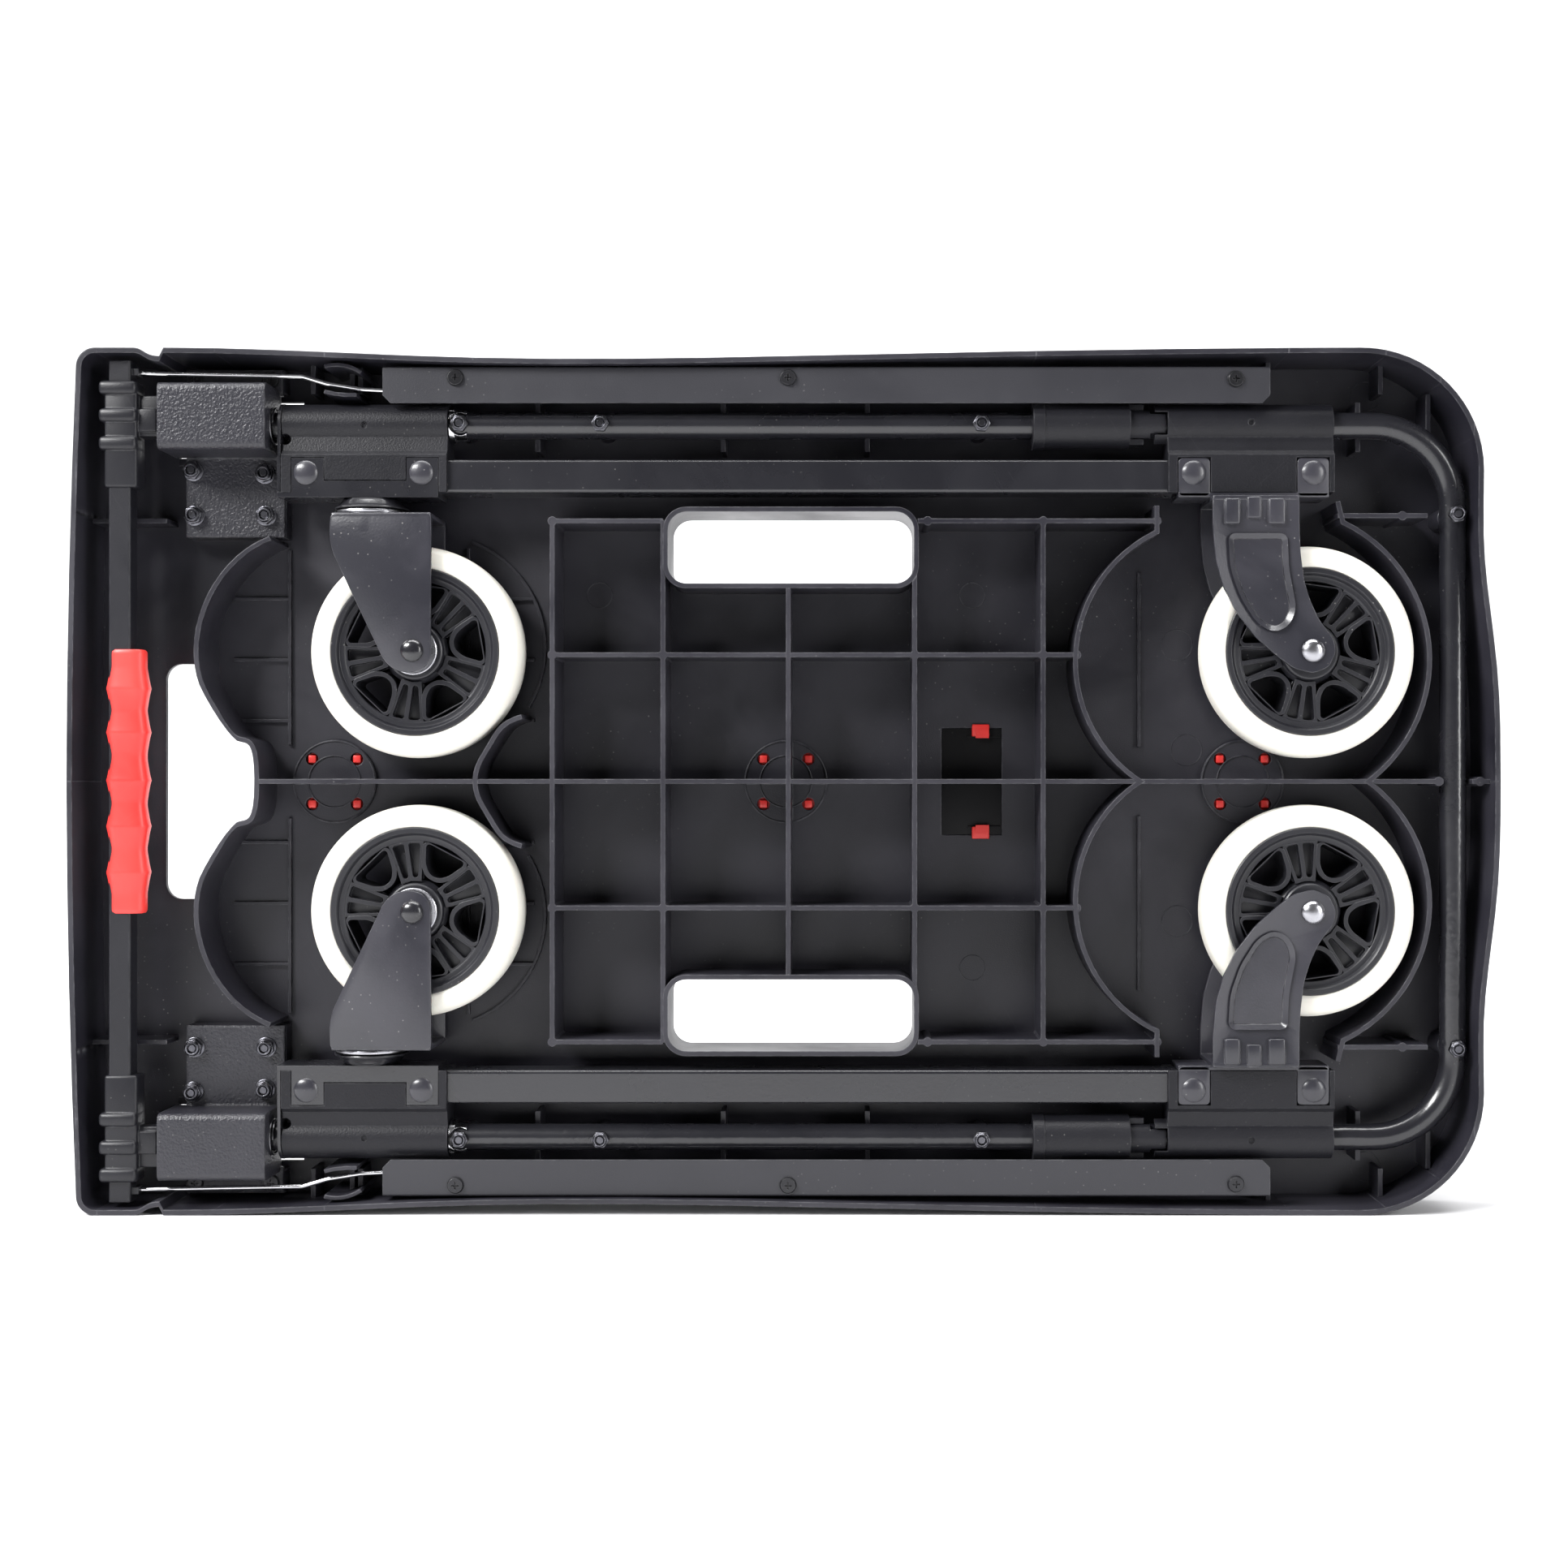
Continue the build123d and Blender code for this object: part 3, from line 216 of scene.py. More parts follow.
def makeFinish(name, look):
    # one maker for plastics, paints and plated metal; look holds the values of the finish
    material = bpy.data.materials.new(name)
    material.use_nodes = True
    tree = material.node_tree
    shader = tree.nodes["Principled BSDF"]
    grain = useGroup(tree, grainGroup, {"Grain Size": look["grainSize"], "Cloud Size": look["cloudSize"],
                                        "Cloud Amount": look["clouds"]})
    edges = useGroup(tree, edgeGroup, {"Radius": look["edge"] * millimetre, "Patch Size": look["patchSize"],
                                       "Rub And Highlight": look["rubAndHighlight"]})
    scuffs = useGroup(tree, scuffGroup, {"Density": look["scratches"], "Stretch": look["stretch"],
                                         "Dust": look["dust"]})
    colour = blend(tree, grain.outputs["Cloud"], look["colour"], look["cloudColour"])
    colour = blend(tree, scuffs.outputs["Scratch"], colour, look["scratchColour"])
    # edge tint: partly rubbed wear, partly a painted highlight along edges
    colour = blend(tree, edges.outputs["Mask"], colour, look["rubbedAndHighlitColour"])
    colour = blend(tree, scuffs.outputs["Dust"], colour, look["dustColour"])
    tree.links.new(colour, shader.inputs["Base Color"])
    rough = maths(tree, "MULTIPLY_ADD", grain.outputs["Cloud"], look["roughSpread"], look["rough"])
    rough = maths(tree, "MULTIPLY_ADD", scuffs.outputs["Scratch"], look["scratchRough"], rough)
    rough = maths(tree, "MULTIPLY_ADD", scuffs.outputs["Dust"], look["dustRough"], rough, clamp=True)
    tree.links.new(rough, shader.inputs["Roughness"])
    bump = addNode(tree, "ShaderNodeBump", {"Strength": 1.0, "Distance": look["grainDepth"] * millimetre})
    tree.links.new(grain.outputs["Height"], bump.inputs["Height"])
    tree.links.new(edges.outputs["Normal"], bump.inputs["Normal"])
    tree.links.new(bump.outputs[0], shader.inputs["Normal"])
    shader.inputs["Metallic"].default_value = look["metal"]
    shader.inputs["Specular IOR Level"].default_value = look["specular"]
    shader.inputs["Coat Weight"].default_value = look["coat"]
    shader.inputs["Coat Roughness"].default_value = look["coatRough"]
    if "skin" in look:
        shader.inputs["Subsurface Weight"].default_value = look["skin"]
        shader.inputs["Subsurface Scale"].default_value = look["skinDeep"] * millimetre
    return material


plainLook = dict(
    colour=(0.012, 0.012, 0.015), cloudColour=(0.018, 0.018, 0.022), scratchColour=(0.05, 0.05, 0.055),
    rubbedAndHighlitColour=(0.09, 0.09, 0.1), grainSize=1500.0, grainDepth=0.05, cloudSize=14.0, clouds=0.6, edge=0.5,
    patchSize=170.0, rubAndHighlight=0.3, scratches=0.1, stretch=60.0, dust=0.2, rough=0.42, roughSpread=0.12,
    scratchRough=0.15, metal=0.0, specular=0.5, coat=0.0, coatRough=0.1, skinDeep=2.0,
    dustColour=(0.42, 0.41, 0.39), dustRough=0.4,
)
finishLooks = {
    # deck: its light edge tint is partly wear and partly a painted highlight on rib tops and rims
    "deck_plastic": dict(colour=(0.0115, 0.011, 0.0165), cloudColour=(0.024, 0.023, 0.031), rough=0.34,
                         grainSize=1700.0, grainDepth=0.06, cloudSize=13.0, clouds=1.0, edge=0.8, rubAndHighlight=0.9,
                         roughSpread=0.2, rubbedAndHighlitColour=(0.15, 0.15, 0.165), dust=0.3),
    "bar_plastic": dict(colour=(0.0085, 0.0085, 0.0115), cloudColour=(0.013, 0.0128, 0.017), rough=0.36,
                        edge=1.0, rubAndHighlight=0.6, specular=0.4),
    "sleeve_plastic": dict(colour=(0.007, 0.007, 0.0095), cloudColour=(0.011, 0.0108, 0.0145), rough=0.42,
                           grainSize=1100.0, grainDepth=0.14, edge=0.8, rubAndHighlight=0.8, specular=0.3),
    "hub_plastic": dict(colour=(0.011, 0.011, 0.0145), cloudColour=(0.017, 0.017, 0.021), rough=0.34,
                        grainDepth=0.03, edge=0.4, rubAndHighlight=0.6, dust=0.4),
    "red_plastic": dict(colour=(0.80, 0.032, 0.028), cloudColour=(0.87, 0.065, 0.055),
                        rubbedAndHighlitColour=(0.9, 0.2, 0.17), scratchColour=(0.85, 0.12, 0.1), rough=0.36,
                        roughSpread=0.08, grainDepth=0.02, scratches=0.12, dust=0.1, skin=0.08),
    "painted_steel": dict(colour=(0.011, 0.011, 0.014), cloudColour=(0.018, 0.018, 0.022), rough=0.25,
                          roughSpread=0.10, grainSize=700.0, cloudSize=20.0, rubAndHighlight=0.45,
                          rubbedAndHighlitColour=(0.16, 0.16, 0.17), scratches=0.06, coat=0.35, coatRough=0.12),
    "fork_paint": dict(colour=(0.02, 0.02, 0.026), cloudColour=(0.032, 0.031, 0.04), rough=0.3,
                       grainSize=900.0, grainDepth=0.06, cloudSize=17.0, clouds=1.0, rubAndHighlight=0.8,
                       rubbedAndHighlitColour=(0.22, 0.22, 0.23), scratches=0.12, dust=0.5, coat=0.3, coatRough=0.16),
    "housing_steel": dict(colour=(0.018, 0.0178, 0.0235), cloudColour=(0.03, 0.0295, 0.037), rough=0.34,
                          grainSize=780.0, grainDepth=0.4, edge=2.0, rubAndHighlight=0.6, rubbedAndHighlitColour=(0.12, 0.12, 0.13),
                          scratches=0.04),
    "cover_steel": dict(colour=(0.022, 0.022, 0.027), cloudColour=(0.029, 0.029, 0.035), rough=0.40,
                        grainSize=1300.0, grainDepth=0.07, edge=0.6, rubAndHighlight=0.8, rubbedAndHighlitColour=(0.16, 0.16, 0.17),
                        scratches=0.05),
    # near-black painted shade for the clip's shallow window
    "recess_shade_black": dict(colour=(0.002, 0.002, 0.0025), cloudColour=(0.004, 0.004, 0.005), rough=0.5, edge=0.2,
                       scratches=0.02, dust=0.1, specular=0.25),
    "chrome": dict(colour=(0.72, 0.72, 0.74), cloudColour=(0.62, 0.62, 0.65), scratchColour=(0.5, 0.5, 0.52),
                   rubbedAndHighlitColour=(0.8, 0.8, 0.82), rough=0.12, roughSpread=0.12, grainDepth=0.01, edge=0.3,
                   scratches=0.3, dust=0.15, metal=1.0, rubAndHighlight=0.2),
    "zinc": dict(colour=(0.46, 0.46, 0.49), cloudColour=(0.36, 0.36, 0.39), scratchColour=(0.28, 0.28, 0.3),
                 rubbedAndHighlitColour=(0.65, 0.65, 0.67), rough=0.24, roughSpread=0.16, grainSize=900.0,
                 grainDepth=0.03, cloudSize=120.0, edge=0.3, scratches=0.4, dust=0.15, metal=1.0),
    "dark_zinc": dict(colour=(0.13, 0.13, 0.145), cloudColour=(0.08, 0.08, 0.095),
                      scratchColour=(0.3, 0.3, 0.32), rubbedAndHighlitColour=(0.4, 0.4, 0.42), rough=0.26,
                      roughSpread=0.14, grainDepth=0.03, cloudSize=150.0, edge=0.25, rubAndHighlight=0.6,
                      scratches=0.3, metal=1.0),
    "black_screw": dict(colour=(0.02, 0.02, 0.022), cloudColour=(0.035, 0.035, 0.04), rough=0.26,
                        grainDepth=0.02, edge=0.25, rubAndHighlight=0.8, rubbedAndHighlitColour=(0.3, 0.3, 0.31), metal=0.5),
    "spring_steel": dict(colour=(0.16, 0.16, 0.17), cloudColour=(0.1, 0.1, 0.11), rubbedAndHighlitColour=(0.4, 0.4, 0.4),
                         rough=0.28, metal=1.0, edge=0.2, cloudSize=80.0),
    "tyre": dict(colour=(0.80, 0.78, 0.71), cloudColour=(0.74, 0.715, 0.64), scratchColour=(0.55, 0.53, 0.47),
                 rubbedAndHighlitColour=(0.62, 0.6, 0.54), rough=0.46, grainSize=800.0, grainDepth=0.04,
                 cloudSize=26.0, clouds=0.35, edge=0.6, scratches=0.16, dust=0.05, skin=0.05),
    "aluminium": dict(colour=(0.6, 0.6, 0.62), cloudColour=(0.53, 0.53, 0.55),
                      scratchColour=(0.42, 0.42, 0.44), rubbedAndHighlitColour=(0.7, 0.7, 0.72), rough=0.3,
                      roughSpread=0.1, grainSize=1800.0, grainDepth=0.02, edge=0.3, scratches=0.5,
                      metal=1.0, dust=0.1),
    "grip_rubber": dict(colour=(0.014, 0.014, 0.015), cloudColour=(0.02, 0.02, 0.021), rough=0.62,
                        roughSpread=0.1, grainSize=900.0, grainDepth=0.12, edge=0.8, rubAndHighlight=0.15, dust=0.5),
}
finishes = {name: makeFinish(name, {**plainLook, **look}) for name, look in finishLooks.items()}
slotOf = {row["node"]: row["material_slot"] for row in frame["record"]["subparts"]}
for name, node in nodes.items():
    node.data.materials.clear()
    node.data.materials.append(finishes[slotOf[name]])
print("finishes:", len(finishes))


# ---- shared modelling helpers
def roundOff(part, geom, offset, segments, affect="EDGES"):
    bmesh.ops.bevel(part, geom=geom, offset=offset, affect=affect, segments=segments, profile=0.5,
                    material=-1, clamp_overlap=True)


def addOutline(part, points, height, corner, segments):
    # a flat face from a few corner points, with its corners rounded
    face = part.faces.new([part.verts.new((x, v, height)) for x, v in points])
    roundOff(part, list(face.verts), corner, segments, affect="VERTICES")


def raiseFaces(part, height):
    # makes the flat faces of a part solid, and gives the corners of their upper side
    bmesh.ops.recalc_face_normals(part, faces=part.faces)
    raised = bmesh.ops.extrude_face_region(part, geom=part.faces[:])
    top = [item for item in raised["geom"] if isinstance(item, bmesh.types.BMVert)]
    bmesh.ops.translate(part, vec=(0, 0, height), verts=top)
    return top


def span(side, low, high):
    # a stretch of v on one half or the other, its lower end first
    return tuple(sorted((side * low, side * high)))


def addBlock(bm, x, v, d, corner, segments=3):
    # a box between two places on each axis, its edges rounded by corner
    part = bmesh.new()
    bmesh.ops.create_cube(part, size=1.0)
    size = Vector((x[1] - x[0], v[1] - v[0], d[1] - d[0]))
    middle = Vector((x[0] + x[1], v[0] + v[1], d[0] + d[1])) / 2
    bmesh.ops.scale(part, vec=size, verts=part.verts)
    bmesh.ops.translate(part, vec=middle, verts=part.verts)
    roundOff(part, part.edges[:], corner, segments)
    joinInto(bm, part)


def joinInto(bm, part, finish=0):
    for face in part.faces:
        face.material_index = finish
    mesh = bpy.data.meshes.new("joined")
    part.to_mesh(mesh)
    part.free()
    bm.from_mesh(mesh)
    bpy.data.meshes.remove(mesh)


def addTurned(bm, outline, x, v, d, axis="D", steps=48, closed=False, finish=0):
    # a turned shape: outline is (radius, height) pairs, spun about d or about v
    part = bmesh.new()
    verts = [part.verts.new((radius, 0, height)) for radius, height in outline]
    edges = [part.edges.new(pair) for pair in zip(verts, verts[1:])]
    if closed:
        edges.append(part.edges.new((verts[-1], verts[0])))
    bmesh.ops.spin(part, geom=verts + edges, cent=(0, 0, 0), axis=(0, 0, 1), dvec=(0, 0, 0),
                   angle=math.tau, steps=steps, use_merge=True, use_duplicate=False)
    bmesh.ops.remove_doubles(part, verts=part.verts, dist=0.001)
    bmesh.ops.recalc_face_normals(part, faces=part.faces)
    if axis == "V":
        bmesh.ops.rotate(part, cent=(0, 0, 0), matrix=Matrix.Rotation(-math.pi / 2, 3, "X"), verts=part.verts)
    bmesh.ops.translate(part, vec=(x, v, d), verts=part.verts)
    joinInto(bm, part, finish)


def addPlate(bm, points, low, high, corner, soft=0.3):
    # a flat plate between two depths, the edges of its two faces softened
    part = bmesh.new()
    addOutline(part, points, low, corner, 4)
    raiseFaces(part, high - low)
    bmesh.ops.recalc_face_normals(part, faces=part.faces)
    rim = [edge for edge in part.edges if abs(edge.verts[0].co.z - edge.verts[1].co.z) < 0.0001]
    roundOff(part, rim, soft, 2)
    joinInto(bm, part)


def addWall(bm, outer, inner, low, high, corners):
    # a wall that stands between two outlines with the same number of corners
    part = bmesh.new()
    for points, corner in zip((outer, inner), corners):
        addOutline(part, points, low, corner, 5)
    rings = part.edges[:]
    bmesh.ops.delete(part, geom=part.faces[:], context="FACES_ONLY")
    bmesh.ops.bridge_loops(part, edges=rings)
    raiseFaces(part, high - low)
    bmesh.ops.recalc_face_normals(part, faces=part.faces)
    joinInto(bm, part)


def addPressedPlate(bm, outline, recess, low, high, corner, recessCorner, deep, slope):
    # a flat plate whose upper face is pressed in over the recess outline
    part = bmesh.new()
    addOutline(part, outline, low, corner, 3)
    top = raiseFaces(part, high - low)
    lid = [item for item in part.faces if all(vert in top for vert in item.verts)]
    rim = list(lid[0].edges)
    bmesh.ops.delete(part, geom=lid, context="FACES_ONLY")
    before = set(part.faces)
    addOutline(part, recess, high, recessCorner, 4)
    pressed = [item for item in part.faces if item not in before]
    inner = list(pressed[0].edges)
    bmesh.ops.inset_individual(part, faces=pressed, thickness=slope, depth=0.0, use_even_offset=False)
    bmesh.ops.translate(part, vec=(0, 0, -deep), verts=list(pressed[0].verts))
    bmesh.ops.bridge_loops(part, edges=rim + inner)
    bmesh.ops.recalc_face_normals(part, faces=part.faces)
    joinInto(bm, part)


nutLook = {"soft": 0.35, "collarTall": 1.5, "turnStart": 0.3, "turnPerX": 0.7, "screw": 2.0, "screwDeep": 4.0}


def addNut(bm, x, v, seat, across, tall, washer):
    # a lock nut: hexagon, rounded collar with a hollow top, the screw's end in it, washer below
    look = nutLook
    part = bmesh.new()
    toCorner = across / 2 / math.cos(math.pi / 6)
    bmesh.ops.create_cone(part, cap_ends=True, segments=6, radius1=toCorner, radius2=toCorner, depth=tall)
    roundOff(part, part.edges[:], look["soft"], 2)
    turn = Matrix.Rotation(look["turnStart"] + x * look["turnPerX"], 3, "Z")
    bmesh.ops.rotate(part, cent=(0, 0, 0), matrix=turn, verts=part.verts)
    bmesh.ops.translate(part, vec=(x, v, seat + tall / 2), verts=part.verts)
    joinInto(bm, part)
    collar = across / 2 - look["soft"]
    foot = seat + tall - 0.4
    top = seat + tall + look["collarTall"]
    screw = look["screw"]
    addTurned(bm, [(collar, foot), (collar, top - 0.7), (collar - 0.5, top - 0.1), (collar - 0.9, top),
                   (2.45, top), (2.3, top - 0.3), (2.3, foot)], x, v, 0, steps=28)
    addTurned(bm, [(0, top - 0.7), (screw - 0.4, top - 0.7), (screw, top - 1.1),
                   (screw, seat - look["screwDeep"])], x, v, 0, steps=20, finish=1)
    if washer:
        addTurned(bm, [(2.2, seat - 0.8), (washer, seat - 0.8), (washer, seat - 0.2), (washer - 0.3, seat),
                       (2.2, seat)], x, v, 0, steps=32, closed=True, finish=1)


def settle(bm, name, body, slotName, replaced, extraSlots=(), mirrored=False, moved=(0, 0, 0), sharp=35,
           soften=0.0, paint=None):
    # stands a piece up into the frame, gives it its finish and lets it ride on its body
    bmesh.ops.translate(bm, vec=moved, verts=bm.verts)
    if mirrored:
        bmesh.ops.scale(bm, vec=(1, -1, 1), verts=bm.verts)
        bmesh.ops.reverse_faces(bm, faces=bm.faces)
    bmesh.ops.transform(bm, matrix=standUp, verts=bm.verts)
    mesh = bpy.data.meshes.new(name)
    bm.to_mesh(mesh)
    mesh.shade_smooth()
    mesh.set_sharp_from_angle(angle=math.radians(sharp))
    piece = bpy.data.objects.new(name, mesh)
    scene.collection.objects.link(piece)
    for finish in (paint or slotName, *extraSlots):
        mesh.materials.append(finishes[finish])
    if soften:
        rounding = piece.modifiers.new("rounding", "BEVEL")
        rounding.width = soften * millimetre
        rounding.segments = 2
        rounding.limit_method = "ANGLE"
        rounding.angle_limit = math.radians(40)
        rounding.harden_normals = True
    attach(piece, body)
    if replaced:
        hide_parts(*replaced)
    return piece


# ---- wheels
wheelLook = {"tyreRadius": 50.8, "tyreHalf": 12.5, "rimRadius": 40.2, "depth": 24.0, "across": 62.0,
             "frontX": -176.0, "rearX": 251.0, "spokes": 5, "firstWindow": 10.0}


def polar(radius, degrees):
    return radius * math.cos(math.radians(degrees)), radius * math.sin(math.radians(degrees))


def makeTyre():
    bm = bmesh.new()
    outer, half, inner = wheelLook["tyreRadius"], wheelLook["tyreHalf"], wheelLook["rimRadius"] - 0.4
    side = [(inner, half - 1.4), (inner + 0.9, half - 0.5), (inner + 2.4, half), (inner + 4.6, half),
            (outer - 3.6, half - 0.7), (outer - 1.8, half - 2.1), (outer - 0.6, half - 4.2),
            (outer - 0.15, half - 7.0), (outer, 0)]
    outline = side + [(radius, -height) for radius, height in reversed(side[:-1])]
    addTurned(bm, outline, 0, 0, 0, steps=112, closed=True)
    return bm


def makeHub():
    bm = bmesh.new()
    rim = wheelLook["rimRadius"]
    face = [(rim, 0), (rim, 11.9), (rim - 0.5, 12.4), (rim - 2.6, 12.4), (rim - 3.2, 11.9), (rim - 4.0, 10.6),
            (rim - 4.9, 10.4), (rim - 6.2, 10.4), (rim - 6.7, 9.9), (rim - 6.9, 0)]
    outline = face + [(radius, -height) for radius, height in reversed(face[1:-1])]
    addTurned(bm, outline, 0, 0, 0, steps=112, closed=True)
    bossFace = [(4.1, 0), (4.1, 13.1), (9.4, 13.1), (10.0, 12.6), (12.6, 12.6), (13.3, 12.1), (13.6, 11.2),
                (13.6, 9.2), (15.4, 7.4), (15.6, 0)]
    outline = bossFace + [(radius, -height) for radius, height in reversed(bossFace[1:-1])]
    addTurned(bm, outline, 0, 0, 0, steps=64, closed=True)
    # one window inside its lip, and one spoke's floor with its two slots, then four turned copies
    sector = bmesh.new()
    mid = 180 / wheelLook["spokes"]
    window = [polar(34.6, 21.8), polar(20.0, 20.4), polar(15.8, 0.0), polar(20.0, -20.4), polar(34.6, -21.8)]
    opening = [polar(33.4, 19.2), polar(21.6, 14.8), polar(17.8, 0.0), polar(21.6, -14.8), polar(33.4, -19.2)]
    addWall(sector, window, opening, -10.3, 10.3, (4.0, 3.0))
    spoke = [polar(15.0, mid - 20), polar(34.2, mid - 16.5), polar(34.4, mid), polar(34.2, mid + 16.5),
             polar(15.0, mid + 20), polar(14.0, mid)]
    addPlate(sector, spoke, -5.5, 5.5, 0.6, soft=0.2)
    # two slots with rounded ends, each inside a raised wall
    for lean in (-1, 1):
        border = [polar(14.6, mid), polar(34.6, mid), polar(34.6, mid + lean * 14.6),
                  polar(14.6, mid + lean * 19.0)]
        slot = [polar(16.2, mid + lean * 3.4), polar(32.8, mid + lean * 1.8), polar(32.8, mid + lean * 12.2),
                polar(16.2, mid + lean * 12.6)]
        addWall(sector, border, slot, -9.9, 9.9, (0.3, 1.9))
    copies = wheelLook["spokes"] - 1
    bmesh.ops.spin(sector, geom=sector.verts[:] + sector.edges[:] + sector.faces[:], cent=(0, 0, 0),
                   axis=(0, 0, 1), dvec=(0, 0, 0), angle=math.tau / wheelLook["spokes"] * copies,
                   steps=copies, use_merge=False, use_duplicate=True)
    first = Matrix.Rotation(math.radians(wheelLook["firstWindow"]), 3, "Z")
    bmesh.ops.rotate(sector, cent=(0, 0, 0), matrix=first, verts=sector.verts)
    joinInto(bm, sector)
    return bm


for half in halves:
    for end in ("front", "rear"):
        spot = (wheelLook[f"{end}X"], wheelLook["across"], wheelLook["depth"])
        body = f"{half}_{end}_wheel"
        settle(makeTyre(), f"{half}{end.title()}Tyre", body, "tyre", [f"{half}_{end}_tyre"],
               mirrored=half == "lower", moved=spot)
        settle(makeHub(), f"{half}{end.title()}Hub", body, "hub_plastic", [f"{half}_{end}_hub"],
               mirrored=half == "lower", moved=spot)
print("wheels done")


# ---- rigid forks at the rear, swivel forks at the front
forkLook = {"near": (40.3, 42.5), "far": (5.5, 7.7), "web": (135.6, 138.0), "earTop": 154.4,
            "pressDeep": 1.9, "pressSlope": 2.7, "kingpin": (-199.0, 0, 24.0)}
rearArm = [(203.4, 135.6), (203.4, 121), (204.8, 105), (208.2, 92.7), (214.2, 80.6), (223.5, 68.5),
           (234, 59.2), (242, 53.4), (251, 51.2), (258.4, 54.2), (261.8, 61.5), (260.6, 67.6), (257.2, 71.8),
           (253.2, 77.5), (249.3, 86.2), (246.6, 95.1), (244.9, 108.8), (244.4, 121), (244.4, 135.6)]
rearRecess = [(210.6, 117.6), (238.8, 117.6), (239.4, 101), (243.0, 82), (239.6, 73.6), (232.4, 70.4),
              (224.4, 74.6), (216.4, 87.2), (211.6, 101)]
frontArm = [(-214.6, 127.2), (-215.2, 116.0), (-213.6, 108.6), (-206.0, 92.4), (-189.4, 57.4), (-184.6, 52.8),
            (-177.4, 51.3), (-170.4, 53.2), (-167.2, 58.4), (-166.8, 127.2)]


def makeRigidFork():
    bm = bmesh.new()
    addPressedPlate(bm, rearArm, rearRecess, *forkLook["near"], 2.0, 3.6, forkLook["pressDeep"],
                    forkLook["pressSlope"])
    addPlate(bm, rearArm, *forkLook["far"], 2.0)
    addBlock(bm, (188.2, 260.2), forkLook["web"], (13.0, 35.0), corner=0.5)
    addBlock(bm, (203.4, 244.4), (133.4, 135.7), (5.6, 42.4), corner=0.6)
    for left, right in ((188.2, 203.4), (244.9, 260.2)):
        for near in ((33.0, 35.0), (13.0, 15.0)):
            ear = [(left, 136.0), (right, 136.0), (right, forkLook["earTop"]), (left, forkLook["earTop"])]
            addPlate(bm, ear, *near, 2.2, soft=0.35)
    # stiffening dimples where the arm leaves the shoulder
    for left, right in ((208.8, 216.4), (229.6, 237.8)):
        addBlock(bm, (left, right), (121.8, 134.2), (41.0, 43.4), corner=1.1)
    addBlock(bm, (219.6, 226.4), (124.6, 135.0), (41.0, 43.1), corner=0.9)
    return bm


def makeSwivelFork():
    bm = bmesh.new()
    for gap in (forkLook["near"], forkLook["far"]):
        addPlate(bm, frontArm, *gap, 2.6, soft=0.4)
    addBlock(bm, (-214.4, -167.0), (125.2, 127.6), (5.6, 42.4), corner=0.9)
    # pressed cup under the race
    addTurned(bm, [(16.8, 127.5), (17.9, 127.1), (18.4, 126.0), (18.4, 119.0), (17.6, 115.6), (16.6, 115.6),
                   (17.4, 119.0), (17.4, 125.6), (16.6, 126.4)], *forkLook["kingpin"], axis="V", steps=64,
              closed=True)
    return bm


def makeSaddleRace():
    # domed upper race on the kingpin
    bm = bmesh.new()
    addTurned(bm, [(0, 135.5), (12.4, 135.5), (13.3, 135.2), (14.2, 134.2), (15.4, 132.6), (16.6, 131.6),
                   (17.5, 131.3), (17.7, 130.9), (17.5, 130.4), (16.2, 130.3), (5.0, 130.3), (5.0, 122.3),
                   (8.6, 122.2), (8.6, 119.7), (0, 119.7)], *forkLook["kingpin"], axis="V", steps=72)
    return bm


def makeLowerRace():
    bm = bmesh.new()
    addTurned(bm, [(5.3, 127.7), (17.0, 127.7), (17.6, 128.0), (17.8, 128.7), (17.5, 129.5), (16.7, 129.8),
                   (5.3, 129.8)], *forkLook["kingpin"], axis="V", steps=72, closed=True)
    return bm


def makeAxle(x, washer):
    # riveted axle with a domed head on the near arm and a washer each side of the hub
    bm = bmesh.new()
    addTurned(bm, [(0, 45.0), (2.0, 44.9), (3.8, 44.3), (5.0, 43.4), (5.5, 42.5), (3.9, 42.5), (3.9, 5.5),
                   (5.2, 5.4), (4.6, 4.1), (0, 3.9)], x, wheelLook["across"], 0, steps=40, finish=1)
    for low, high in ((37.4, 40.25), (7.8, 10.5)):
        addTurned(bm, [(4.0, low), (washer - 0.4, low), (washer, low + 0.3), (washer, high - 0.3),
                       (washer - 0.4, high), (4.0, high)],
                  x, wheelLook["across"], 0, steps=48, closed=True)
    return bm


for half in halves:
    lower = half == "lower"
    settle(makeRigidFork(), f"{half}RigidFork", f"{half}_wheel_beam", "painted_steel", [f"{half}_rigid_fork"],
           mirrored=lower, soften=0.3, paint="fork_paint")
    settle(makeSwivelFork(), f"{half}SwivelFork", f"{half}_swivel", "painted_steel", [f"{half}_swivel_fork"],
           mirrored=lower, paint="fork_paint")
    settle(makeSaddleRace(), f"{half}UpperRace", f"{half}_wheel_beam", "painted_steel", [f"{half}_kingpin"],
           mirrored=lower)
    settle(makeLowerRace(), f"{half}LowerRace", f"{half}_swivel", "zinc", [f"{half}_swivel_race"],
           mirrored=lower)
    settle(makeAxle(wheelLook["frontX"], 11.4), f"{half}FrontAxle", f"{half}_swivel", "zinc",
           [f"{half}_front_axle"], ["painted_steel"], mirrored=lower)
    settle(makeAxle(wheelLook["rearX"], 8.9), f"{half}RearAxle", f"{half}_wheel_beam", "zinc",
           [f"{half}_rear_axle"], ["zinc"], mirrored=lower)
print("forks done")


# ---- rivets, nuts and washers
fixingLook = {"rivetX": (-228.1, -173.0, 195.6, 252.8), "rivetV": 147.4, "flange": 10.5,
              "boltPlaces": ((-288.6, 151.3), (-253.5, 150.0), (-288.0, 129.6), (-253.0, 129.6)),
              "tubeX": (-155.4, -88.0, 94.5), "tubeV": 171.4, "tubeD": 24.0, "tubeRadius": 6.35,
              "endPlace": (322.2, 128.0)}


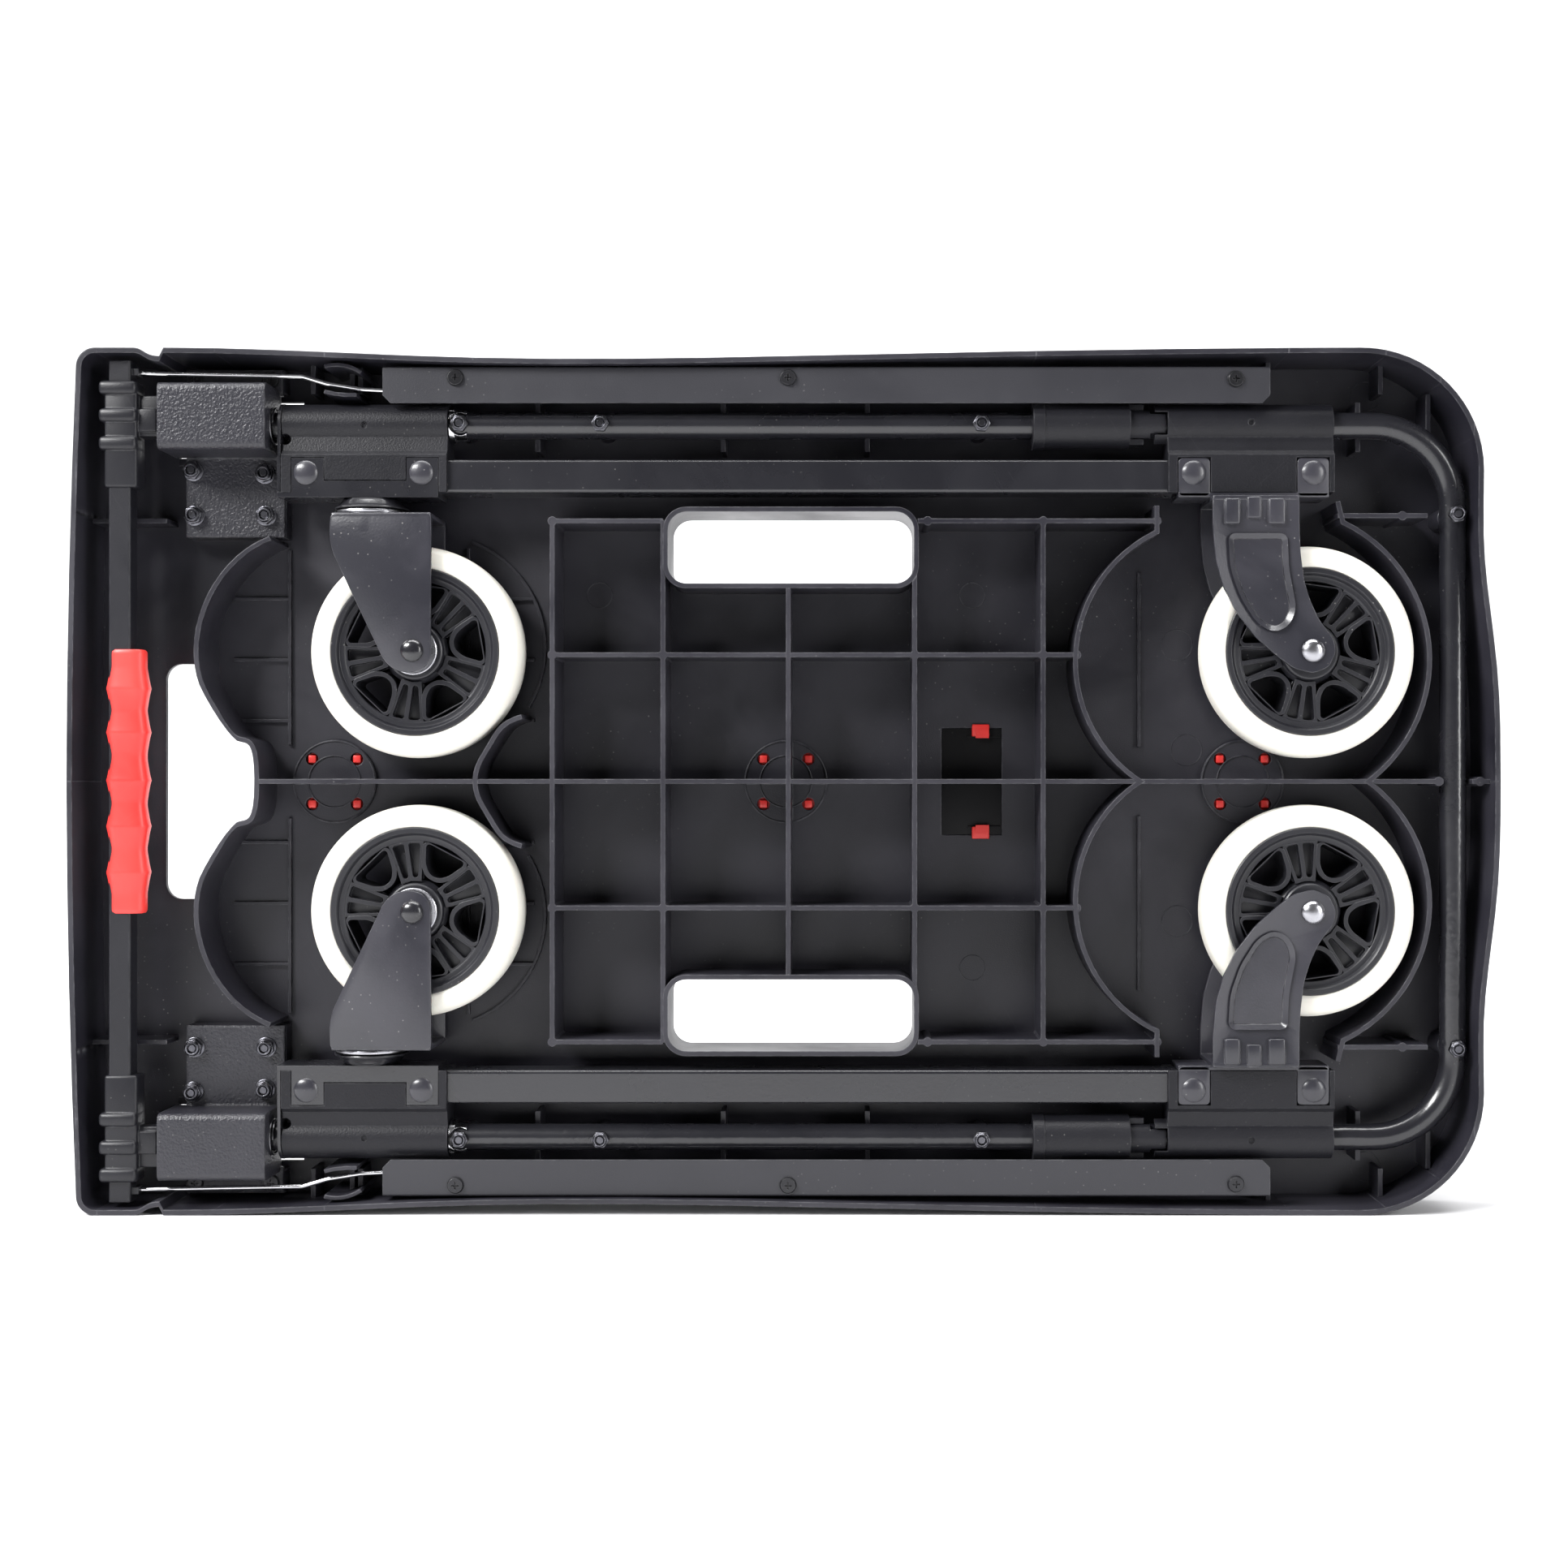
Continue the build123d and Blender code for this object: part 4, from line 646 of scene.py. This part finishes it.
def makeRivets():
    bm = bmesh.new()
    for x in fixingLook["rivetX"]:
        addTurned(bm, [(0, 36.8), (1.8, 36.75), (3.8, 36.3), (5.2, 35.7), (5.8, 35.1), (5.8, 34.9),
                       (2.9, 34.9), (2.9, 12.9), (5.2, 12.9), (4.8, 11.8), (0, 11.6)],
                  x, fixingLook["rivetV"], 0, steps=40)
    return bm


def makeHousingNuts():
    bm = bmesh.new()
    for side in halves.values():
        for x, v in fixingLook["boltPlaces"]:
            addNut(bm, x, side * v, fixingLook["flange"] + 3.3, 8.0, 2.8, 5.0)
    return bm


def makeTubeNuts():
    bm = bmesh.new()
    seat = fixingLook["tubeD"] + fixingLook["tubeRadius"] + 0.2
    for side in halves.values():
        for x, v in [(x, fixingLook["tubeV"]) for x in fixingLook["tubeX"]] + [fixingLook["endPlace"]]:
            addNut(bm, x, side * v, seat, 7.4, 2.8, 0)
    return bm


for half in halves:
    settle(makeRivets(), f"{half}BeamRivets", f"{half}_wheel_beam", "painted_steel", [f"{half}_beam_rivets"],
           mirrored=half == "lower", paint="fork_paint")
settle(makeHousingNuts(), "housingNuts", "deck", "dark_zinc", ["housing_bolts"], ["dark_zinc"])
settle(makeTubeNuts(), "tubeNuts", "deck", "dark_zinc", ["tube_screws"], ["dark_zinc"])
print("fixings done")


# ---- release bar: red grip and the two finger blocks
gripLook = {"left": -324.2, "right": -303.6, "low": 24.0, "high": 37.5, "reach": 63.0,
            "ridges": (-43.5, -21.5, 0.5, 23.5, 44.5), "ridgeWide": 20.0, "waveDeep": 1.9, "smooth": 2.9,
            "rings": 120, "around": 40}


def makeGrip():
    bm = bmesh.new()
    look = gripLook
    bmesh.ops.create_cone(bm, cap_ends=True, segments=look["around"], radius1=1.0, radius2=1.0, depth=2.0)
    long = [edge for edge in bm.edges if abs(edge.verts[0].co.z - edge.verts[1].co.z) > 1.0]
    bmesh.ops.subdivide_edges(bm, edges=long, cuts=look["rings"], use_grid_fill=True)
    middle = Vector(((look["left"] + look["right"]) / 2, 0, (look["low"] + look["high"]) / 2))
    half = Vector(((look["right"] - look["left"]) / 2, look["reach"], (look["high"] - look["low"]) / 2))
    for vert in bm.verts:
        along = vert.co.z * look["reach"]
        # how far the surface lies below the nearest ridge's crest, from 0 to 1
        nearest = min(abs(along - ridge) for ridge in look["ridges"])
        dip = min(1.0, nearest / (look["ridgeWide"] / 2)) ** 0.75
        angle = math.atan2(vert.co.y, vert.co.x)
        cosine, sine = abs(math.cos(angle)), abs(math.sin(angle))
        squareness = (cosine ** look["smooth"] + sine ** look["smooth"]) ** (-1 / look["smooth"])
        end = max(0.0, abs(along) - (look["reach"] - 1.4)) / 1.4
        size = squareness * (1.0 - 0.1 * end * end)
        x = math.cos(angle) * size * (half.x - dip * look["waveDeep"])
        d = math.sin(angle) * size * (half.z - dip * look["waveDeep"] * 0.55)
        vert.co = middle + Vector((x, along, d))
    bmesh.ops.recalc_face_normals(bm, faces=bm.faces)
    return bm


blockLook = {"body": ((-324.0, -308.4), (140.2, 191.0), (23.6, 36.2)), "bodySoft": 1.3,
             "ribsAt": (187.7, 174.6, 161.2), "ribHalf": 3.4, "ribX": (-326.5, -308.2), "ribD": (23.8, 38.0),
             "ribSoft": 2.2, "tongue": ((-309.0, -295.6), (165.0, 184.5), (24.6, 33.0)), "tongueSoft": 0.7,
             "step": ((-309.0, -299.6), (167.0, 178.0), (32.0, 34.4)), "stepSoft": 0.6}


def makeFingerBlocks():
    bm = bmesh.new()
    look = blockLook
    for side in halves.values():
        x, v, d = look["body"]
        addBlock(bm, x, span(side, *v), d, look["bodySoft"])
        for middle in look["ribsAt"]:
            v = span(side, middle - look["ribHalf"], middle + look["ribHalf"])
            addBlock(bm, look["ribX"], v, look["ribD"], look["ribSoft"])
        for name in ("tongue", "step"):
            x, v, d = look[name]
            addBlock(bm, x, span(side, *v), d, look[name + "Soft"])
    return bm


settle(makeGrip(), "releaseGrip", "release", "red_plastic", ["release_grip"], sharp=50)
settle(makeFingerBlocks(), "fingerBlocks", "release", "bar_plastic", ["latch_blocks"])
print("release bar done")


# ---- springs on the tube, round pads and the marks the mould leaves on the deck
springLook = {"start": -249.2, "turns": 3, "pitch": 1.5, "radius": 8.3, "wire": 0.62, "stepsPerTurn": 36}


def makeSprings():
    bm = bmesh.new()
    look = springLook
    for side in halves.values():
        part = bmesh.new()
        bmesh.ops.create_circle(part, cap_ends=False, radius=look["wire"], segments=10)
        bmesh.ops.rotate(part, cent=(0, 0, 0), matrix=Matrix.Rotation(math.pi / 2, 3, "X"), verts=part.verts)
        bmesh.ops.translate(part, vec=(0, 0, look["radius"]), verts=part.verts)
        bmesh.ops.spin(part, geom=part.verts[:] + part.edges[:], cent=(0, 0, 0), axis=(1, 0, 0),
                       dvec=(look["pitch"] / look["stepsPerTurn"], 0, 0), angle=math.tau * look["turns"],
                       steps=look["turns"] * look["stepsPerTurn"], use_merge=False, use_duplicate=False)
        bmesh.ops.holes_fill(part, edges=part.edges[:], sides=12)
        bmesh.ops.recalc_face_normals(part, faces=part.faces)
        place = (look["start"], side * fixingLook["tubeV"], fixingLook["tubeD"])
        bmesh.ops.translate(part, vec=place, verts=part.verts)
        joinInto(bm, part)
    return bm


padLook = {"places": (-222.5, 0.0, 225.0), "radius": 19.0, "face": -3.5, "back": -1.5, "prongOut": 15.6,
           "prongHalf": 1.9, "prongTop": 2.0, "prongFoot": -1.6, "grooves": (13.4, 9.4, 5.4)}


def makePads():
    bm = bmesh.new()
    look = padLook
    outline = [(0, look["back"]), (look["radius"], look["back"]), (look["radius"], look["face"] + 0.5),
               (look["radius"] - 0.5, look["face"] + 0.05)]
    for radius in look["grooves"]:
        outline += [(radius, look["face"]), (radius - 0.5, look["face"] + 0.3), (radius - 1.0, look["face"])]
    outline.append((0, look["face"]))
    for x in look["places"]:
        addTurned(bm, outline, x, 0, 0, steps=56)
        for quarter in range(4):
            turn = math.radians(45 + 90 * quarter)
            place = (x + look["prongOut"] * math.cos(turn), look["prongOut"] * math.sin(turn))
            addBlock(bm, *((middle - look["prongHalf"], middle + look["prongHalf"]) for middle in place),
                     (look["prongFoot"], look["prongTop"]), 0.5, segments=2)
    return bm


markLook = {"rings": ((193.0, 67.3, 7.4), (193.0, -69.0, 7.4), (197.6, 15.6, 7.4), (-92.0, 92.0, 6.0),
                      (286.0, 190.0, 7.0), (286.0, -190.0, 7.0), (-152.0, 97.0, 6.5), (-152.0, -97.0, 6.5),
                      (92.0, 92.0, 6.0), (92.0, -92.0, 6.0)),
            "ringWide": 0.5, "ringTall": 0.25, "seatRings": (12.4, 19.6), "seatBase": 2.0,
            "webX": (-299.8, -292.5), "webV": (155.6, 159.4), "webD": (-2.8, 0.6)}


def makeMouldMarks():
    # ejector rings, rings round the pads' seats, and a web at a corner of each handle opening
    bm = bmesh.new()
    wide, tall, base = markLook["ringWide"], markLook["ringTall"], markLook["seatBase"]
    for side in halves.values():
        addBlock(bm, markLook["webX"], span(side, *markLook["webV"]), markLook["webD"], corner=0.2)
    for x, v, radius in markLook["rings"]:
        addTurned(bm, [(radius, 0.0), (radius, tall * 0.7), (radius + 0.15, tall),
                       (radius + wide - 0.15, tall), (radius + wide, tall * 0.7), (radius + wide, 0.0)],
                  x, v, 0, steps=48)
    for x in padLook["places"]:
        for radius in markLook["seatRings"]:
            addTurned(bm, [(radius, base), (radius, base + 0.35), (radius + 0.15, base + 0.5),
                           (radius + 0.55, base + 0.5), (radius + 0.7, base + 0.35), (radius + 0.7, base)],
                      x, 0, 0, steps=64)
    return bm


tabLook = {"x": (91.7, 100.3), "v": 25.2, "half": 3.0, "rise": (0.15, 2.15), "window": (76.9, 106.4, 26.2),
           "floor": -0.85, "middleGap": 1.2, "stepLeft": 89.6, "stepIn": (4.4, 3.6), "stepTop": 0.1}


def makeClipTabs():
    # hooked heads of the clip's two snap tabs, on the deck's inner face
    bm = bmesh.new()
    for side in halves.values():
        place = span(side, tabLook["v"] - tabLook["half"], tabLook["v"] + tabLook["half"])
        addBlock(bm, tabLook["x"], place, tabLook["rise"], corner=0.5)
    return bm


def makeRecessShade():
    # near-black sheets in the deck's shallow window, painted shade standing in for a deep recess behind the
    # clip, with a step beside each tab
    bm = bmesh.new()
    look = tabLook
    left, right, half = look["window"]
    for side in halves.values():
        addBlock(bm, (left, right), span(side, look["middleGap"], half),
                 (look["floor"] + 0.05, look["floor"] + 0.3), corner=0.1)
        addBlock(bm, (look["stepLeft"], right - 0.6), span(side, *(half - inset for inset in look["stepIn"])),
                 (look["floor"], look["stepTop"]), corner=0.15)
    return bm


settle(makeClipTabs(), "clipTabs", "deck", "red_plastic", [])
# the clip window is painted shade: near-black sheets where a deep recess would be dark
settle(makeRecessShade(), "clipRecessShade", "deck", "deck_plastic", [], paint="recess_shade_black")
settle(makeSprings(), "hingeSprings", "deck", "spring_steel", ["hinge_springs"])
settle(makePads(), "gripPads", "deck", "red_plastic", ["grip_pads"])
settle(makeMouldMarks(), "mouldMarks", "deck", "deck_plastic", [])
print("springs, pads and mould marks done")


# ---- floor, light and camera
floorLook = {"halfWidth": 4.0, "front": -1.9, "back": 1.6, "curve": 1.0, "height": 3.5, "drop": 0.0002,
             "colour": (0.86, 0.86, 0.87, 1.0), "rough": 0.8}


def addFloor():
    look = floorLook
    part = bmesh.new()
    wall = look["back"] + look["curve"] * 1.4
    corners = [(look["front"], 0.0), (look["back"], 0.0), (look["back"] + look["curve"], look["curve"] * 0.3),
               (wall, look["curve"] * 1.4), (wall, look["height"])]
    verts = [part.verts.new((-look["halfWidth"], y, z - look["drop"])) for y, z in corners]
    edges = [part.edges.new(pair) for pair in zip(verts, verts[1:])]
    made = bmesh.ops.extrude_edge_only(part, edges=edges)
    moved = [item for item in made["geom"] if isinstance(item, bmesh.types.BMVert)]
    bmesh.ops.translate(part, vec=(2 * look["halfWidth"], 0, 0), verts=moved)
    mesh = bpy.data.meshes.new("floor")
    part.to_mesh(mesh)
    part.free()
    mesh.shade_smooth()
    floor = bpy.data.objects.new("floor", mesh)
    scene.collection.objects.link(floor)
    paint = bpy.data.materials.new("floorPaint")
    paint.use_nodes = True
    shader = paint.node_tree.nodes["Principled BSDF"]
    shader.inputs["Base Color"].default_value = look["colour"]
    shader.inputs["Roughness"].default_value = look["rough"]
    mesh.materials.append(paint)


def addLight(name, place, target, size, power):
    lamp = bpy.data.lights.new(name, "AREA")
    lamp.shape = "RECTANGLE"
    lamp.size, lamp.size_y = size
    lamp.energy = power
    holder = bpy.data.objects.new(name, lamp)
    holder.location = place
    holder.rotation_euler = (Vector(target) - Vector(place)).to_track_quat("-Z", "Y").to_euler()
    scene.collection.objects.link(holder)


cartMiddle, backdrop = (0.0, 0.0, 0.2), (0.0, 2.6, 0.5)
lights = {  # place, what it faces, width and height in metres, watts
    "keyLight": ((-1.5, -1.15, 1.5), cartMiddle, (1.2, 0.6), 84),
    "fillLight": ((1.7, -1.3, 0.7), cartMiddle, (0.6, 1.2), 24),
    "topLight": ((0.0, -0.3, 2.1), cartMiddle, (2.2, 0.5), 46),
    "backLight": ((0.0, 0.9, 2.4), backdrop, (3.4, 0.8), 90),
}
surround = 0.05  # the sky's strength for anything but the camera
addFloor()
for name, settings in lights.items():
    addLight(name, *settings)
world = bpy.data.worlds.new("studio")
scene.world = world
world.use_nodes = True
sky = world.node_tree
background = sky.nodes["Background"]
background.inputs["Color"].default_value = (1.0, 1.0, 1.0, 1.0)
seen = addNode(sky, "ShaderNodeLightPath")
lit = addNode(sky, "ShaderNodeMapRange", {"To Min": surround, "To Max": 1.0})
sky.links.new(seen.outputs["Is Camera Ray"], lit.inputs["Value"])
sky.links.new(lit.outputs[0], background.inputs["Strength"])
scene.view_settings.view_transform = "Standard"

cameraLook = {"place": (0.0299, -1.0238, 0.2044), "lens": 47.98, "sensor": 36.0, "shift": (-0.0399, 0.0005)}
eye = bpy.data.cameras.new("mainCamera")
eye.lens = cameraLook["lens"]
eye.sensor_width = cameraLook["sensor"]
eye.shift_x, eye.shift_y = cameraLook["shift"]
cameraObject = bpy.data.objects.new("mainCamera", eye)
cameraObject.location = cameraLook["place"]
cameraObject.rotation_euler = (math.pi / 2, 0.0, 0.0)
scene.collection.objects.link(cameraObject)
scene.camera = cameraObject
print("stage set")
